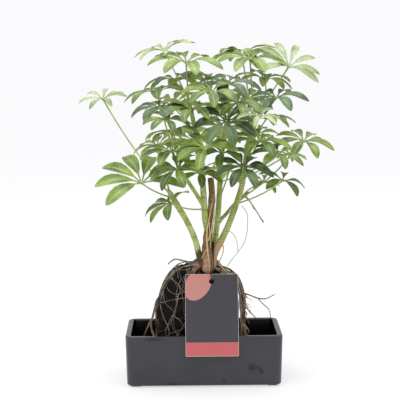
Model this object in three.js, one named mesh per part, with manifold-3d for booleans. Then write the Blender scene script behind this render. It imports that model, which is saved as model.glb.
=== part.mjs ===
// A potted umbrella plant: a multi-stemmed umbrella tree rooted over a block of black lava stone,
// which stands in a rectangular ceramic tray. A printed card hangs from the fork of its stems.
// Millimetres, +Z up. The origin is on the ground under the middle of the plant, and the front
// faces -Y.
import * as THREE from "three";
import { mergeVertices } from "three/addons/utils/BufferGeometryUtils.js";
import Module from "manifold-3d";

const wasm = await Module();
wasm.setup();

// ---------------------------------------------------------------------------------------------
// Driving dimensions
// ---------------------------------------------------------------------------------------------
const GAP = 0.3; // what touching pieces keep between them
const CLEAR = 0.45; // the least distance kept between leaves that don't touch

const TRAY = { length: 200, depth: 110, height: 66, wall: 7, corner: 11, draft: 1.6, rim: 1.4 };
const FOOT = { height: 2, length: 12, depth: 14, sunk: 1.5, fromEnd: 5.5, fromFront: 6 };
const TRAY_FLOOR = 9; // top of the tray's floor

// The stone is a superellipsoid cut flat at the tray's floor, with shallow lumps.
const STONE = { x: -7.5, y: 1, z: 59.3, a: 53.5, b: 36, c: 90, power: 3, lump: 0.012 };

const STEM_SIDES = 7;
const ROOT_SIDES = 4;
const FINE_SIDES = 3;
const PETIOLE = { radius: 1.25, sides: 3, segments: 4, hub: 2.5 };

// Leaflet sections along its length, from the hub: [share of the length, share of the half width].
const STALK = 0.2; // share of a leaflet's length that is its own stalk
const SECTIONS = [
  [STALK, 0.1],
  [0.5, 0.92],
  [0.8, 0.84],
];
const LEAFLET = { root: 0.05, stalkWidth: 1.3, thickness: 1.2, slim: 0.12 };
// Degrees that a leaflet rises at its hub and falls at its tip: old leaves arch over further.
const ARCH = {
  young: { rise: 34, fall: -26 },
  light: { rise: 30, fall: -34 },
  mature: { rise: 28, fall: -38 },
  dark: { rise: 28, fall: -42 },
};

// Tries for a leaflet that would cross something: [degrees bent up or down, degrees swung round].
const BENDS = [0, 9, -9, 18, -18, 28, -28, 40, -40];
const SWINGS = [0, 9, -9, 17, -17];
// Tries for a leaf stalk: mm that its foot slides up its stem, and that its middle is bowed along
// X and Y.
const SLIDES = [0, 4, -4, 8, -8, 12, -12];
const BOWS = [[0, 0], [8, 0], [-8, 0], [0, 8], [0, -8], [14, 8], [-14, 8], [14, -8], [-14, -8]];

// The card, which leans back on the tray's rim by some degrees.
const TAG = { width: 67, height: 103.8, thick: 0.8, corner: 1.2, hole: 3.4, lean: 16 };
const TAG_LOW = 42.5; // height of the card's lowest edge
const TAG_X = 10;
const TAG_HOLE = { x: 0, down: 9.5 }; // from the middle of the card's top edge
const STRING = { radius: 0.65, quarters: 4, steps: 22, knot: 1.9 };

// ---------------------------------------------------------------------------------------------
// Finishes
// ---------------------------------------------------------------------------------------------
const finish = (color, roughness) =>
  new THREE.MeshStandardMaterial({ color, roughness, metalness: 0 });
const CERAMIC = finish("#48484b", 0.35);
const LAVA = finish("#2a2624", 0.95);
const BARK = finish("#80583f", 0.85);
const GREEN_STEM = finish("#8fa458", 0.6);
const PALE_ROOT = finish("#c3ac86", 0.8);
const CARD = finish("#4c4b52", 0.6);
const STRING_BLACK = finish("#17171a", 0.7);
const LEAF_FINISH = {
  young: finish("#a9bd84", 0.45),
  light: finish("#7e9a55", 0.42),
  mature: finish("#5d7d3c", 0.4),
  dark: finish("#3d5630", 0.4),
};

// ---------------------------------------------------------------------------------------------
// Solids
// ---------------------------------------------------------------------------------------------
const vec = (x, y, z) => new THREE.Vector3(x, y, z);
const rad = THREE.MathUtils.degToRad;

// A closed skin over rings of points. A ring of one point closes an end to a tip.
function loft(rings) {
  const points = rings.flat();
  const starts = [];
  rings.reduce((at, ring) => (starts.push(at), at + ring.length), 0);
  const faces = [];
  const sides = Math.max(...rings.map((ring) => ring.length));
  for (let k = 0; k + 1 < rings.length; k++) {
    for (let i = 0; i < sides; i++) {
      const j = (i + 1) % sides;
      const [low, high] = [rings[k], rings[k + 1]];
      const [a, b] = [i, j].map((n) => starts[k] + (n % low.length));
      const [c, d] = [i, j].map((n) => starts[k + 1] + (n % high.length));
      if (low.length > 1) faces.push([a, b, d]);
      if (high.length > 1) faces.push([a, d, c]);
    }
  }
  const last = rings.length - 1;
  for (let i = 1; i + 1 < rings[0].length; i++) faces.push([0, i + 1, i]);
  for (let i = 1; i + 1 < rings[last].length; i++) {
    faces.push([starts[last], starts[last] + i, starts[last] + i + 1]);
  }
  const geometry = new THREE.BufferGeometry().setFromPoints(points);
  return geometry.setIndex(faces.flat());
}

function solidOf(geometry) {
  const bare = new THREE.BufferGeometry();
  bare.setAttribute("position", geometry.getAttribute("position"));
  if (geometry.index) bare.setIndex(geometry.index);
  const merged = mergeVertices(bare, 1e-4);
  const made = new wasm.Manifold(
    new wasm.Mesh({
      numProp: 3,
      vertProperties: merged.attributes.position.array,
      triVerts: new Uint32Array(merged.index.array),
    }),
  );
  if (made.volume() >= 0) return made;
  const turned = Array.from(merged.index.array);
  for (let i = 0; i < turned.length; i += 3) {
    [turned[i + 1], turned[i + 2]] = [turned[i + 2], turned[i + 1]];
  }
  merged.setIndex(turned);
  return solidOf(merged);
}

function geometryOf(solid) {
  const mesh = solid.getMesh();
  const positions = new Float32Array(mesh.numVert * 3);
  for (let i = 0; i < mesh.numVert; i++) {
    positions.set(mesh.vertProperties.subarray(i * mesh.numProp, i * mesh.numProp + 3), i * 3);
  }
  const geometry = new THREE.BufferGeometry();
  geometry.setAttribute("position", new THREE.BufferAttribute(positions, 3));
  geometry.setIndex(new THREE.BufferAttribute(mesh.triVerts, 1));
  return geometry;
}

// The largest body of a solid: a cut leaves crumbs behind.
function largest(solid) {
  const bodies = solid.decompose();
  return bodies.reduce((a, b) => (b.volume() > a.volume() ? b : a));
}

// Evenly spaced places on a smooth curve through [x, y, z, radius] rows.
function sampled(rows, count) {
  const curve = new THREE.CatmullRomCurve3(rows.map(([x, y, z]) => vec(x, y, z)));
  const last = rows.length - 1;
  return Array.from({ length: count + 1 }, (_, i) => {
    const t = i / count;
    const k = Math.min(Math.floor(t * last), last - 1);
    const f = t * last - k;
    return { at: curve.getPoint(t), radius: rows[k][3] * (1 - f) + rows[k + 1][3] * f };
  });
}

// A closed tube of changing radius along sampled places, grown by some clearance.
function tube(places, sides, grow = 0) {
  let across = vec(1, 0.13, 0.07);
  const rings = places.map(({ at, radius }, k) => {
    const before = places[Math.max(k - 1, 0)].at;
    const after = places[Math.min(k + 1, places.length - 1)].at;
    const along = after.clone().sub(before).normalize();
    across = across.clone().addScaledVector(along, -across.dot(along)).normalize();
    const up = along.clone().cross(across);
    return Array.from({ length: sides }, (_, i) => {
      const turn = (2 * Math.PI * i) / sides;
      const arm = across.clone().multiplyScalar(Math.cos(turn));
      return arm.addScaledVector(up, Math.sin(turn)).multiplyScalar(radius + grow).add(at);
    });
  });
  return solidOf(loft(rings));
}

const nodes = [];
function add(name, solid, material) {
  nodes.push({ name, solid, material });
}

// ---------------------------------------------------------------------------------------------
// Tray
// ---------------------------------------------------------------------------------------------
function roundedRing(length, depth, corner, z) {
  const shape = new THREE.Shape();
  const [x, y] = [length / 2 - corner, depth / 2 - corner];
  shape.absarc(x, y, corner, 0, Math.PI / 2);
  shape.absarc(-x, y, corner, Math.PI / 2, Math.PI);
  shape.absarc(-x, -y, corner, Math.PI, 1.5 * Math.PI);
  shape.absarc(x, -y, corner, 1.5 * Math.PI, 2 * Math.PI);
  const points = shape.getPoints(4);
  if (points[0].distanceTo(points[points.length - 1]) < 1e-6) points.pop();
  return points.map((p) => vec(p.x, p.y, z));
}

function makeTray() {
  const { length, depth, height, wall, corner, draft, rim } = TRAY;
  const level = (inset, z) =>
    roundedRing(length - 2 * inset, depth - 2 * inset, Math.max(corner - inset, 3), z);
  const low = FOOT.height;
  const shell = loft([
    level(draft + rim, low),
    level(draft, low + rim),
    level(0, height - rim),
    level(rim * 0.4, height - rim * 0.3),
    level(rim, height),
    level(wall - rim, height),
    level(wall, height - rim),
    level(wall + draft, TRAY_FLOOR + 2),
    level(wall + draft + 2, TRAY_FLOOR),
  ]);
  const feet = [-1, 1].flatMap((sx) =>
    [-1, 1].map((sy) => {
      const foot = new THREE.BoxGeometry(FOOT.length, FOOT.depth, FOOT.height + FOOT.sunk);
      const x = length / 2 - draft - FOOT.fromEnd - FOOT.length / 2;
      const y = depth / 2 - draft - FOOT.fromFront - FOOT.depth / 2;
      foot.translate(sx * x, sy * y, (FOOT.height + FOOT.sunk) / 2);
      return solidOf(foot);
    }),
  );
  return wasm.Manifold.union([solidOf(shell), ...feet]);
}

// ---------------------------------------------------------------------------------------------
// Stone
// ---------------------------------------------------------------------------------------------
const STONE_AT = vec(STONE.x, STONE.y, STONE.z);

// How far the stone's surface is from its middle along a direction.
function stoneReach(direction) {
  const { a, b, c, power, lump } = STONE;
  const [x, y, z] = direction.toArray();
  const sum = Math.abs(x / a) ** power + Math.abs(y / b) ** power + Math.abs(z / c) ** power;
  const lumps = Math.sin(5.1 * x + 1.3) * Math.sin(6.3 * y + 0.4) + Math.sin(7.7 * z + 2.1 * x);
  return sum ** (-1 / power) * (1 + lump * lumps);
}

// How far forward the stone's front reaches at x and z.
function stoneFront(x, z) {
  const { a, b, c, power } = STONE;
  const left = 1 - Math.abs((x - STONE.x) / a) ** power - Math.abs((z - STONE.z) / c) ** power;
  return STONE.y - b * Math.max(left, 0.02) ** (1 / power);
}

// The place on the stone's surface below or behind a point, raised from it.
function seat(point, raised) {
  const direction = point.clone().sub(STONE_AT).normalize();
  return direction.multiplyScalar(stoneReach(direction) + raised).add(STONE_AT);
}

function makeStone(grow = 0) {
  const around = 20;
  const levels = [-34, -18, -2, 14, 29, 42, 53, 63, 72, 81];
  const ring = (degrees) =>
    Array.from({ length: around }, (_, i) => {
      const turn = (2 * Math.PI * i) / around;
      const flat = Math.cos(rad(degrees));
      const direction = vec(
        flat * Math.cos(turn) * STONE.a,
        flat * Math.sin(turn) * STONE.b,
        Math.sin(rad(degrees)) * STONE.c,
      ).normalize();
      return direction.multiplyScalar(stoneReach(direction) + grow).add(STONE_AT);
    });
  const top = vec(0, 0, 1);
  const crown = [top.multiplyScalar(stoneReach(top) + grow).add(STONE_AT)];
  const whole = solidOf(loft([...levels.map(ring), crown]));
  return whole.trimByPlane([0, 0, 1], TRAY_FLOOR + GAP);
}

// ---------------------------------------------------------------------------------------------
// Trunk and roots
// ---------------------------------------------------------------------------------------------
// Rows are [x, y, z, radius].
const TRUNK = [
  [7, -10, 130, 10],
  [5, -11, 146, 8.6],
  [4.6, -10, 160, 7.6],
  [5.6, -8, 183, 6],
  [9.9, -6, 213, 4.8],
  [11.8, -5, 242, 4.3],
  [10.1, -5, 262, 3.9],
];

// Woody roots. Those that are seated lie on the stone, and the others are free where they end.
const WOODY_ROOTS = [
  // over the top to the left, with a free arched end
  { rows: [[4, -10, 150, 3.4], [-12, -11, 151.5, 2.2], [-25, -9, 155, 1.5], [-37, -8, 157, 1.2],
    [-46, -8, 150.5, 0.8]] },
  // front left
  { seated: true, rows: [[2, -12, 148, 4.4], [-10, -20, 146, 3.6], [-16, -29, 134, 2.6],
    [-17, -34, 116, 2], [-12, -36, 98, 1.5]] },
  // over the left shoulder
  { seated: true, rows: [[-8, -14, 150, 2.2], [-22, -14, 149, 1.5], [-35, -15, 142, 1.1],
    [-47, -16, 128, 0.9], [-55, -14, 108, 0.9], [-59, -12, 88, 0.8]] },
  // hanging at the left, down to the tray's floor
  { rows: [[-54, -15.5, 115, 0.9], [-61, -17.5, 103, 1.8], [-64.5, -19, 88, 1.6],
    [-68, -20, 76, 1.3], [-66, -22, 64, 1.4], [-61, -25, 50, 1.6], [-58, -27, 34, 1.2],
    [-60, -28, 20, 1]] },
  { rows: [[-64.5, -19, 86, 1.3], [-71, -21, 74, 0.9], [-77, -24, 60, 0.8], [-82, -26, 44, 0.7],
    [-84, -26, 26, 0.7]] },
  // over the right shoulder and down the right side
  { rows: [[8, -12, 149, 4.4], [22, -11, 144, 2.6], [34, -10, 140, 2], [43, -9, 134, 1.8],
    [49, -9, 116, 1.8], [50.5, -10, 92, 1.8], [50, -12, 68, 1.7], [49, -14, 44, 1.5],
    [47, -16, 24, 1.2]] },
  { rows: [[10, -6, 150, 3.4], [24, 0, 146, 2.1], [38, 2, 139, 1.7], [49, 3, 124, 1.7],
    [53.5, 2, 98, 1.7], [53, 0, 72, 1.6], [52, -2, 46, 1.4], [50, -3, 26, 1.1]] },
  { rows: [[12, -14, 148, 3.2], [24, -19, 142, 2], [36, -21, 136, 1.6], [45, -22, 121, 1.6],
    [47.5, -23, 98, 1.6], [48, -24, 72, 1.5], [47, -26, 46, 1.3], [48, -28, 28, 1.1]] },
  // free ends that stick out at the right
  { rows: [[46, -22, 116, 1.4], [57, -22, 113, 1.1], [70, -22, 108, 1], [80, -20, 107, 0.8],
    [92, -18, 112, 0.7]] },
  { rows: [[70, -22, 108, 0.9], [76, -23, 101, 0.8], [84, -24, 93, 0.7], [86, -24, 82, 0.6]] },
  { rows: [[47, -23, 104, 1.2], [54, -24, 97, 1], [62, -25, 88, 0.8], [67, -26, 83, 0.7]] },
  { rows: [[50, -13, 68, 1.4], [56, -18, 54, 1.1], [62, -22, 40, 0.9], [68, -26, 26, 0.8]] },
  { rows: [[53, 0, 68, 1.4], [60, 5, 46, 1.1], [67, 9, 26, 0.8]] },
  // down the back
  { seated: true, rows: [[5, -8, 150, 4.2], [-5, 10, 148, 2.6], [-12, 24, 138, 2],
    [-14, 32, 118, 1.7], [-12, 36, 92, 1.5], [-8, 37, 62, 1.3], [-8, 37, 34, 1]] },
  { seated: true, rows: [[8, -8, 150, 4], [17, 11, 143, 2.4], [24, 24, 130, 1.8],
    [26, 32, 104, 1.5], [22, 36, 72, 1.3], [20, 36, 40, 1]] },
];

// Pale fine roots that can be seen on the front, as [x, z] rows on the stone's front face.
const FRONT_NET = [
  [[-12, 146], [-22, 144], [-36, 142], [-44, 134]],
  [[-22, 144], [-17, 136], [-14, 126]],
  [[-44, 134], [-36, 131], [-30, 124], [-24, 118], [-16, 114]],
  [[-48, 126], [-44, 119], [-34, 115], [-24, 118]],
  [[-50, 122], [-52, 112], [-55, 101], [-46, 106], [-34, 109], [-16, 112]],
  [[-32, 115], [-34, 102], [-39, 88], [-46, 74], [-49, 60]],
  [[-39, 88], [-30, 82], [-26, 74], [-34, 68], [-46, 62], [-44, 48], [-46, 34]],
  [[-22, 82], [-27, 73], [-34, 62], [-38, 50], [-34, 38]],
  [[-55, 101], [-50, 84], [-44, 70], [-47, 50]],
  [[-13, 104], [4, 112], [10, 96], [6, 78], [12, 56], [8, 36]],
  [[-13, 100], [-8, 84], [-2, 66], [-8, 46]],
  [[34, 132], [26, 112], [33, 92], [28, 70], [32, 50]],
];
const NET_RADIUS = 0.6;
const ROOT_STEP = 12; // spacing of the places along a seated root
const ROOT_LIFT = 0.5; // what a seated root keeps from the stone

// Roots that wander down the sides and back by rule: compass angle in degrees from +X.
const WANDERERS = { count: 6, from: -8, to: 192, top: 62, low: -24, radius: 0.7 };

function seatedRoot(rows) {
  const rough = sampled(rows, 24);
  let length = 0;
  for (let i = 1; i < rough.length; i++) length += rough[i].at.distanceTo(rough[i - 1].at);
  const places = sampled(rows, Math.max(3, Math.round(length / ROOT_STEP)));
  return places.map(({ at, radius }) => ({ at: seat(at, radius + ROOT_LIFT), radius }));
}

function wanderer(k) {
  const { count, from, to, top, low, radius } = WANDERERS;
  const start = from + ((to - from) * k) / (count - 1);
  const steps = 13;
  const foot = vec(...TRUNK[1].slice(0, 3)).sub(STONE_AT).normalize();
  return Array.from({ length: steps + 1 }, (_, i) => {
    const f = (i / steps) ** 1.4;
    const turn = rad(start + 11 * Math.sin(2.4 * f * Math.PI + k * 2.4) + 7 * Math.sin(9 * f + k));
    const up = rad(top + (low - top) * f);
    const direction = vec(
      Math.cos(up) * Math.cos(turn) * STONE.a,
      Math.cos(up) * Math.sin(turn) * STONE.b,
      Math.sin(up) * STONE.c,
    ).normalize();
    direction.lerp(foot, Math.max(0, 1 - 2.4 * f)).normalize();
    const width = radius * (1.35 - 0.6 * f);
    const out = stoneReach(direction) + width + ROOT_LIFT;
    return { at: direction.multiplyScalar(out).add(STONE_AT), radius: width };
  });
}

function makeRoots(grow = 0) {
  const woody = WOODY_ROOTS.map(({ rows, seated }) =>
    tube(seated ? seatedRoot(rows) : sampled(rows, rows.length), ROOT_SIDES, grow),
  );
  const front = FRONT_NET.map((line) => {
    const rows = line.map(([x, z]) => [x, stoneFront(x, z), z, NET_RADIUS]);
    return tube(seatedRoot(rows), FINE_SIDES, grow);
  });
  const wandering = Array.from({ length: WANDERERS.count }, (_, k) =>
    tube(wanderer(k), FINE_SIDES, grow),
  );
  return [...woody, ...front, ...wandering];
}

// ---------------------------------------------------------------------------------------------
// Green stems
// ---------------------------------------------------------------------------------------------
const STEMS = {
  left: [[0, -12, 150, 4.2], [-4.2, -13, 159, 4.2], [-10.5, -14, 184, 3.8], [-20.6, -16, 207, 3.7],
    [-33, -18, 229, 4], [-40, -19, 241, 3.8], [-44, -20, 249, 2]],
  centre: [[6, -7, 190, 3.4], [3, -9, 208, 4.2], [1.6, -9, 228, 4.1], [0.3, -6, 250, 3.9],
    [-2.1, -4, 279, 3.6], [-7, 0, 310, 3.2], [-13, 4, 342, 2.9], [-17.4, 6, 362, 2.5],
    [-19, 7, 369, 1.3]],
  branch: [[2, -9, 224, 2.6], [-8.8, -17, 243, 2.5], [-21, -26, 263, 2.4], [-31, -34, 279, 2.3],
    [-34, -37, 285, 1.2]],
  back: [[6, -5, 160, 3.4], [9.5, -0.5, 169, 3.8], [15.7, 7, 182, 3.9], [19.8, 10, 214, 3.8],
    [22.7, 14, 256, 3.6], [24.3, 18, 283, 3.3], [30, 23, 315, 3], [36, 27, 343, 2.5],
    [38, 28, 350, 1.3]],
  right: [[8, -8, 140, 6], [10, -10, 147, 6.4], [14, -12, 165, 5.4], [21.7, -11, 179, 4.7],
    [29.5, -9, 194, 4.1], [37.4, -7, 213, 3.9], [44, -5, 231, 3.8], [49, -3, 246, 3.7],
    [53, 0, 266, 3.5], [57.4, 4, 297, 3.2], [63, 8, 328, 2.9], [67, 12, 346, 2.4],
    [69, 13, 352, 1.3]],
  side: [[18, 9, 196, 2.4], [23, 10, 205, 2.6], [31, 14, 213, 2.4], [39, 18, 222, 2.4],
    [48, 21, 230, 2.4], [57, 23, 237, 2.2], [61, 24, 240, 1.2]],
};
// Bare stalks that have lost their leaves, left standing on the side stem.
const BARE_STALKS = [
  [[55, 22, 235, 0.9], [62, 18, 228, 0.8], [68, 15, 218, 1.1]],
  [[56, 23, 236, 0.9], [65, 17, 224, 0.8], [75, 12, 208, 0.8], [79, 10, 202, 1.1]],
];

// Pale aerial roots that run down the front of the trunk, as [height, degrees round it, radius].
const TRUNK_ROOTS = [
  [[232, -84, 1.1], [214, -104, 1.3], [196, -108, 1.4], [178, -92, 1.4], [160, -78, 1.5],
    [150, -76, 1.5], [143, -80, 1.3]],
  [[230, -52, 1], [212, -58, 1.2], [194, -64, 1.2], [182, -84, 1.2]],
];
// Thread-like aerial roots hanging free from the right stem.
const LOOPS = [
  [[50, -6, 226, 0.6], [56, -9, 218, 0.6], [57.5, -10, 206, 0.6], [56, -11, 190, 0.6],
    [52.5, -12, 178, 0.6], [44, -13, 166, 0.6], [36, -13, 156, 0.6], [28, -13, 144, 0.6]],
  [[34, -8, 194, 0.6], [40, -10, 188, 0.6], [44, -11, 178, 0.6], [44.5, -12.5, 167, 0.6]],
];
const PROP_ROOT = [[24, -12, 180, 1.4], [26, -16, 172, 1.3], [24, -19, 163, 1.2],
  [20, -21, 153, 1.2], [26, -21, 146, 1.1], [33, -20, 139, 1]];

function stemPlaces(name) {
  const rows = STEMS[name];
  return sampled(rows, Math.round(1.5 * (rows.length - 1)));
}

// The place on a stem's centre line at a height.
function stemAt(name, z) {
  const places = sampled(STEMS[name], 200);
  return places.reduce((a, b) => (Math.abs(b.at.z - z) < Math.abs(a.at.z - z) ? b : a)).at;
}

// ---------------------------------------------------------------------------------------------
// Leaves
// ---------------------------------------------------------------------------------------------
// Each row: name, stem, height where its stalk leaves the stem, hub, lean of the leaf's axis
// from upright along X and Y, length of its longest leaflet, leaflets, compass turn, age, and the
// leaflets that it has lost.
const LEAVES = [
  ["top_left", "centre", 364, [-47, 20, 424], [-0.28, -0.18], 54, 7, 16, "young"],
  ["top_mid", "centre", 360, [-20, -10, 409], [0.05, -0.3], 64, 8, 12, "light"],
  ["top_right", "right", 346, [63, 30, 412], [0.05, -0.35], 60, 8, 18, "light"],
  ["top_right_back", "right", 350, [54, 66, 418], [-0.15, 0.05], 58, 8, 22, "light"],
  ["far_right_top", "right", 340, [112, 18, 403], [0.2, -0.95], 56, 9, -6, "young", [6, 7]],
  ["right_upper", "right", 334, [94, -10, 364], [-0.1, -0.35], 54, 8, 20, "dark"],
  ["right_upper_back", "right", 348, [82, 48, 386], [0.15, 0.1], 54, 8, 0, "mature"],
  ["far_left", "left", 240, [-129, 40, 362], [-0.14, -0.44], 41, 7, 36, "young"],
  ["left_upper", "branch", 281, [-58, 10, 371], [-0.2, -0.1], 58, 8, 0, "mature"],
  ["left_mid", "branch", 278, [-53, -45, 353], [-0.1, -0.3], 50, 8, 14, "dark"],
  ["left_small", "centre", 300, [-45, -70, 340], [0.1, -0.4], 40, 7, 30, "mature"],
  ["upper_left_back", "centre", 352, [-34, 42, 386], [-0.15, 0.1], 58, 8, 10, "dark"],
  ["upper_mid", "back", 345, [32, -25, 382], [0.05, -0.35], 54, 8, 28, "dark"],
  ["front_mid", "back", 300, [28, -70, 338], [0.05, -0.9], 54, 8, 10, "dark"],
  ["front_right_young", "right", 300, [67, -78, 344], [0.1, -0.5], 38, 7, 0, "young"],
  ["front_right", "right", 285, [69, -50, 311], [0.1, -0.3], 54, 8, 20, "mature"],
  ["far_right", "right", 262, [128, -20, 309], [0.12, -0.46], 50, 8, 20, "mature"],
  ["right_small", "side", 234, [113, 8, 288], [0.1, -0.3], 30, 7, 15, "young"],
  ["right_low", "side", 225, [101, -25, 260], [0.25, -0.4], 44, 5, 15, "mature"],
  ["right_low_thin", "side", 237, [79, 6, 255], [0.3, -0.45], 32, 5, 20, "light"],
  ["front_light", "centre", 268, [2, -86, 306], [0, -0.65], 50, 8, 32, "light", [6]],
  ["left_big", "left", 238, [-77, -42, 260], [0.08, -0.78], 74, 10, 7, "light", [7, 8, 9]],
  ["left_front_high", "branch", 284, [-38, -62, 300], [0, -0.25], 56, 8, 24, "mature"],
  ["left_front_low", "branch", 270, [-32, -84, 281], [-0.35, -0.6], 48, 8, 12, "mature"],
  ["mid_front_low", "centre", 240, [-4, -52, 272], [0.1, -0.4], 42, 7, 16, "mature"],
  ["low_left", "centre", 222, [-39, -46, 234], [-0.4, -0.32], 50, 9, 20, "mature", [0, 7, 8]],
  ["mid_right_front", "back", 256, [49, -70, 281], [0.05, -0.6], 50, 8, 20, "dark"],
  ["upper_front_left", "centre", 326, [-16, -56, 352], [-0.05, -0.3], 50, 8, 33, "mature"],
  ["upper_front", "back", 336, [10, -62, 373], [0.05, -0.4], 50, 8, 3, "mature"],
  ["right_back", "right", 338, [58, 66, 358], [0.1, 0.45], 54, 8, 12, "mature"],
  ["top_back", "back", 349, [8, 68, 380], [0, 0.3], 52, 8, 0, "light"],
  ["left_back", "centre", 330, [-38, 78, 352], [-0.25, 0.45], 54, 8, 21, "mature"],
  ["mid_back", "back", 300, [30, 86, 320], [0.05, 0.6], 52, 8, 9, "dark"],
  ["mid_back_left", "centre", 280, [-12, 88, 304], [-0.1, 0.6], 50, 8, 31, "mature"],
  ["right_back_low", "right", 275, [72, 66, 312], [0.2, 0.5], 46, 8, 17, "dark"],
  ["left_back_low", "left", 243, [-58, 52, 300], [-0.3, 0.35], 46, 8, 2, "mature"],
  ["inner", "back", 320, [8, 12, 348], [0, 0], 46, 8, 24, "dark"],
  ["low_back", "back", 232, [36, 62, 264], [0.15, 0.5], 46, 7, 11, "mature"],
  ["inner_left", "branch", 283, [-40, 0, 320], [-0.15, 0], 46, 8, 18, "mature"],
  ["inner_right", "right", 310, [84, 26, 336], [0.15, 0.1], 48, 8, 27, "mature"],
  ["front_high", "right", 322, [44, -52, 358], [0.1, -0.5], 46, 8, 6, "mature"],
  ["centre_low", "centre", 262, [24, -40, 296], [0.05, -0.4], 46, 8, 35, "mature"],
  ["right_front_low", "right", 268, [93, -58, 296], [0.2, -0.4], 44, 8, 9, "mature"],
];

const GOLDEN = 0.618034;
// A repeatable number from -1 to 1 for the leaflet of a leaf.
const vary = (leaf, leaflet) => 2 * (((leaf + 1) * 7 + (leaflet + 1) * GOLDEN * 5) % 1) - 1;

function leafAxes([lx, ly]) {
  const up = vec(lx, ly, 1).normalize();
  const east = vec(1, 0, 0).addScaledVector(up, -up.x).normalize();
  return { up, east, north: up.clone().cross(east) };
}

// A leaf stalk's places, slid and bowed aside by a try.
function stalkPlaces(leaf, slide, [bowX, bowY]) {
  const start = stemAt(leaf.stem, leaf.z + slide);
  const { up } = leafAxes(leaf.lean);
  const middle = start.clone().lerp(leaf.hub, 0.5);
  const under = leaf.hub.clone().addScaledVector(up, -0.5 * start.distanceTo(leaf.hub));
  const control = middle.lerp(under, 0.28).add(vec(bowX, bowY, 0));
  const curve = new THREE.QuadraticBezierCurve3(start, control, leaf.hub);
  return Array.from({ length: PETIOLE.segments + 1 }, (_, i) => {
    const t = i / PETIOLE.segments;
    const flare = t === 0 ? 1.7 : 1;
    return { at: curve.getPoint(t), radius: PETIOLE.radius * flare };
  });
}

// The rings of one leaflet, a keeled blade on its own little stalk, from its root to its tip.
function leafletRings(leaf, index, bend, swing) {
  const { up, east, north } = leafAxes(leaf.lean);
  const change = vary(leaf.number, index);
  const turn = rad(leaf.turn + (360 * (index + 0.14 * change)) / leaf.count + swing);
  const out = east.clone().multiplyScalar(Math.cos(turn)).addScaledVector(north, Math.sin(turn));
  const side = up.clone().cross(out);
  const length = leaf.reach * (0.93 + 0.07 * change);
  const direction = (degrees) =>
    out.clone().multiplyScalar(Math.cos(rad(degrees))).addScaledVector(up, Math.sin(rad(degrees)));
  const rise = direction(ARCH[leaf.age].rise + bend + 6 * change);
  const fall = direction(ARCH[leaf.age].fall + bend + 10 * change);
  const control = leaf.hub.clone().addScaledVector(rise, length / 2);
  const tip = control.clone().addScaledVector(fall, length / 2);
  const curve = new THREE.QuadraticBezierCurve3(leaf.hub, control, tip);
  const half = LEAFLET.slim * leaf.reach;
  const section = ([t, share]) => {
    const at = curve.getPoint(t);
    const down = side.clone().cross(curve.getTangent(t)).normalize();
    const halfWidth = Math.max(half * share, LEAFLET.stalkWidth / 2);
    return [
      at.clone().addScaledVector(down, LEAFLET.thickness),
      at.clone().addScaledVector(side, halfWidth),
      at.clone().addScaledVector(side, -halfWidth),
    ];
  };
  return [section([LEAFLET.root, 0]), ...SECTIONS.map(section), [tip]];
}

// The leaf's knob and leaflets in one skin: each leaflet grows out of one flat side of the knob.
function leafSkin(leaf, leaflets) {
  const { up, east, north } = leafAxes(leaf.lean);
  const sides = leaf.count;
  const ring = (height) =>
    Array.from({ length: sides }, (_, i) => {
      const turn = rad(leaf.turn + (360 * (i + 0.5)) / sides);
      const arm = east.clone().multiplyScalar(Math.cos(turn));
      arm.addScaledVector(north, Math.sin(turn)).multiplyScalar(PETIOLE.hub);
      return arm.addScaledVector(up, height).add(leaf.hub);
    });
  const points = [...ring(-0.7 * PETIOLE.hub), ...ring(0.6 * PETIOLE.hub)];
  const faces = [];
  for (let i = 1; i + 1 < sides; i++) {
    faces.push([0, i + 1, i], [sides, sides + i, sides + i + 1]);
  }
  leaflets.forEach((rings, i) => {
    const before = (i + sides - 1) % sides;
    const [a, b, c, d] = [before, i, sides + i, sides + before];
    if (!rings) {
      faces.push([a, b, c], [a, c, d]);
      return;
    }
    const [, ...outer] = rings;
    let at = points.length;
    points.push(...outer.flat());
    faces.push([a, b, at], [b, at + 1, at], [b, c, at + 1], [c, d, at + 2], [c, at + 2, at + 1]);
    faces.push([d, a, at], [d, at, at + 2]);
    for (let k = 0; k + 2 < outer.length; k++, at += 3) {
      for (const [m, n] of [[0, 1], [1, 2], [2, 0]]) {
        faces.push([at + m, at + n, at + 3 + n], [at + m, at + 3 + n, at + 3 + m]);
      }
    }
    faces.push([at, at + 1, at + 3], [at + 1, at + 2, at + 3], [at + 2, at, at + 3]);
  });
  const geometry = new THREE.BufferGeometry().setFromPoints(points);
  return solidOf(geometry.setIndex(faces.flat()));
}

const boxesNear = (a, b, by) =>
  [0, 1, 2].every((i) => a.min[i] - by < b.max[i] && b.min[i] - by < a.max[i]);

// Whether a solid keeps its distance from every one of a list.
function isClear(solid, others) {
  const box = solid.boundingBox();
  return others.every(
    (other) => !boxesNear(box, other.box, CLEAR) || solid.minGap(other.solid, CLEAR) >= CLEAR,
  );
}

const boxed = (solid, owner) => ({ solid, owner, box: solid.boundingBox() });

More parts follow.
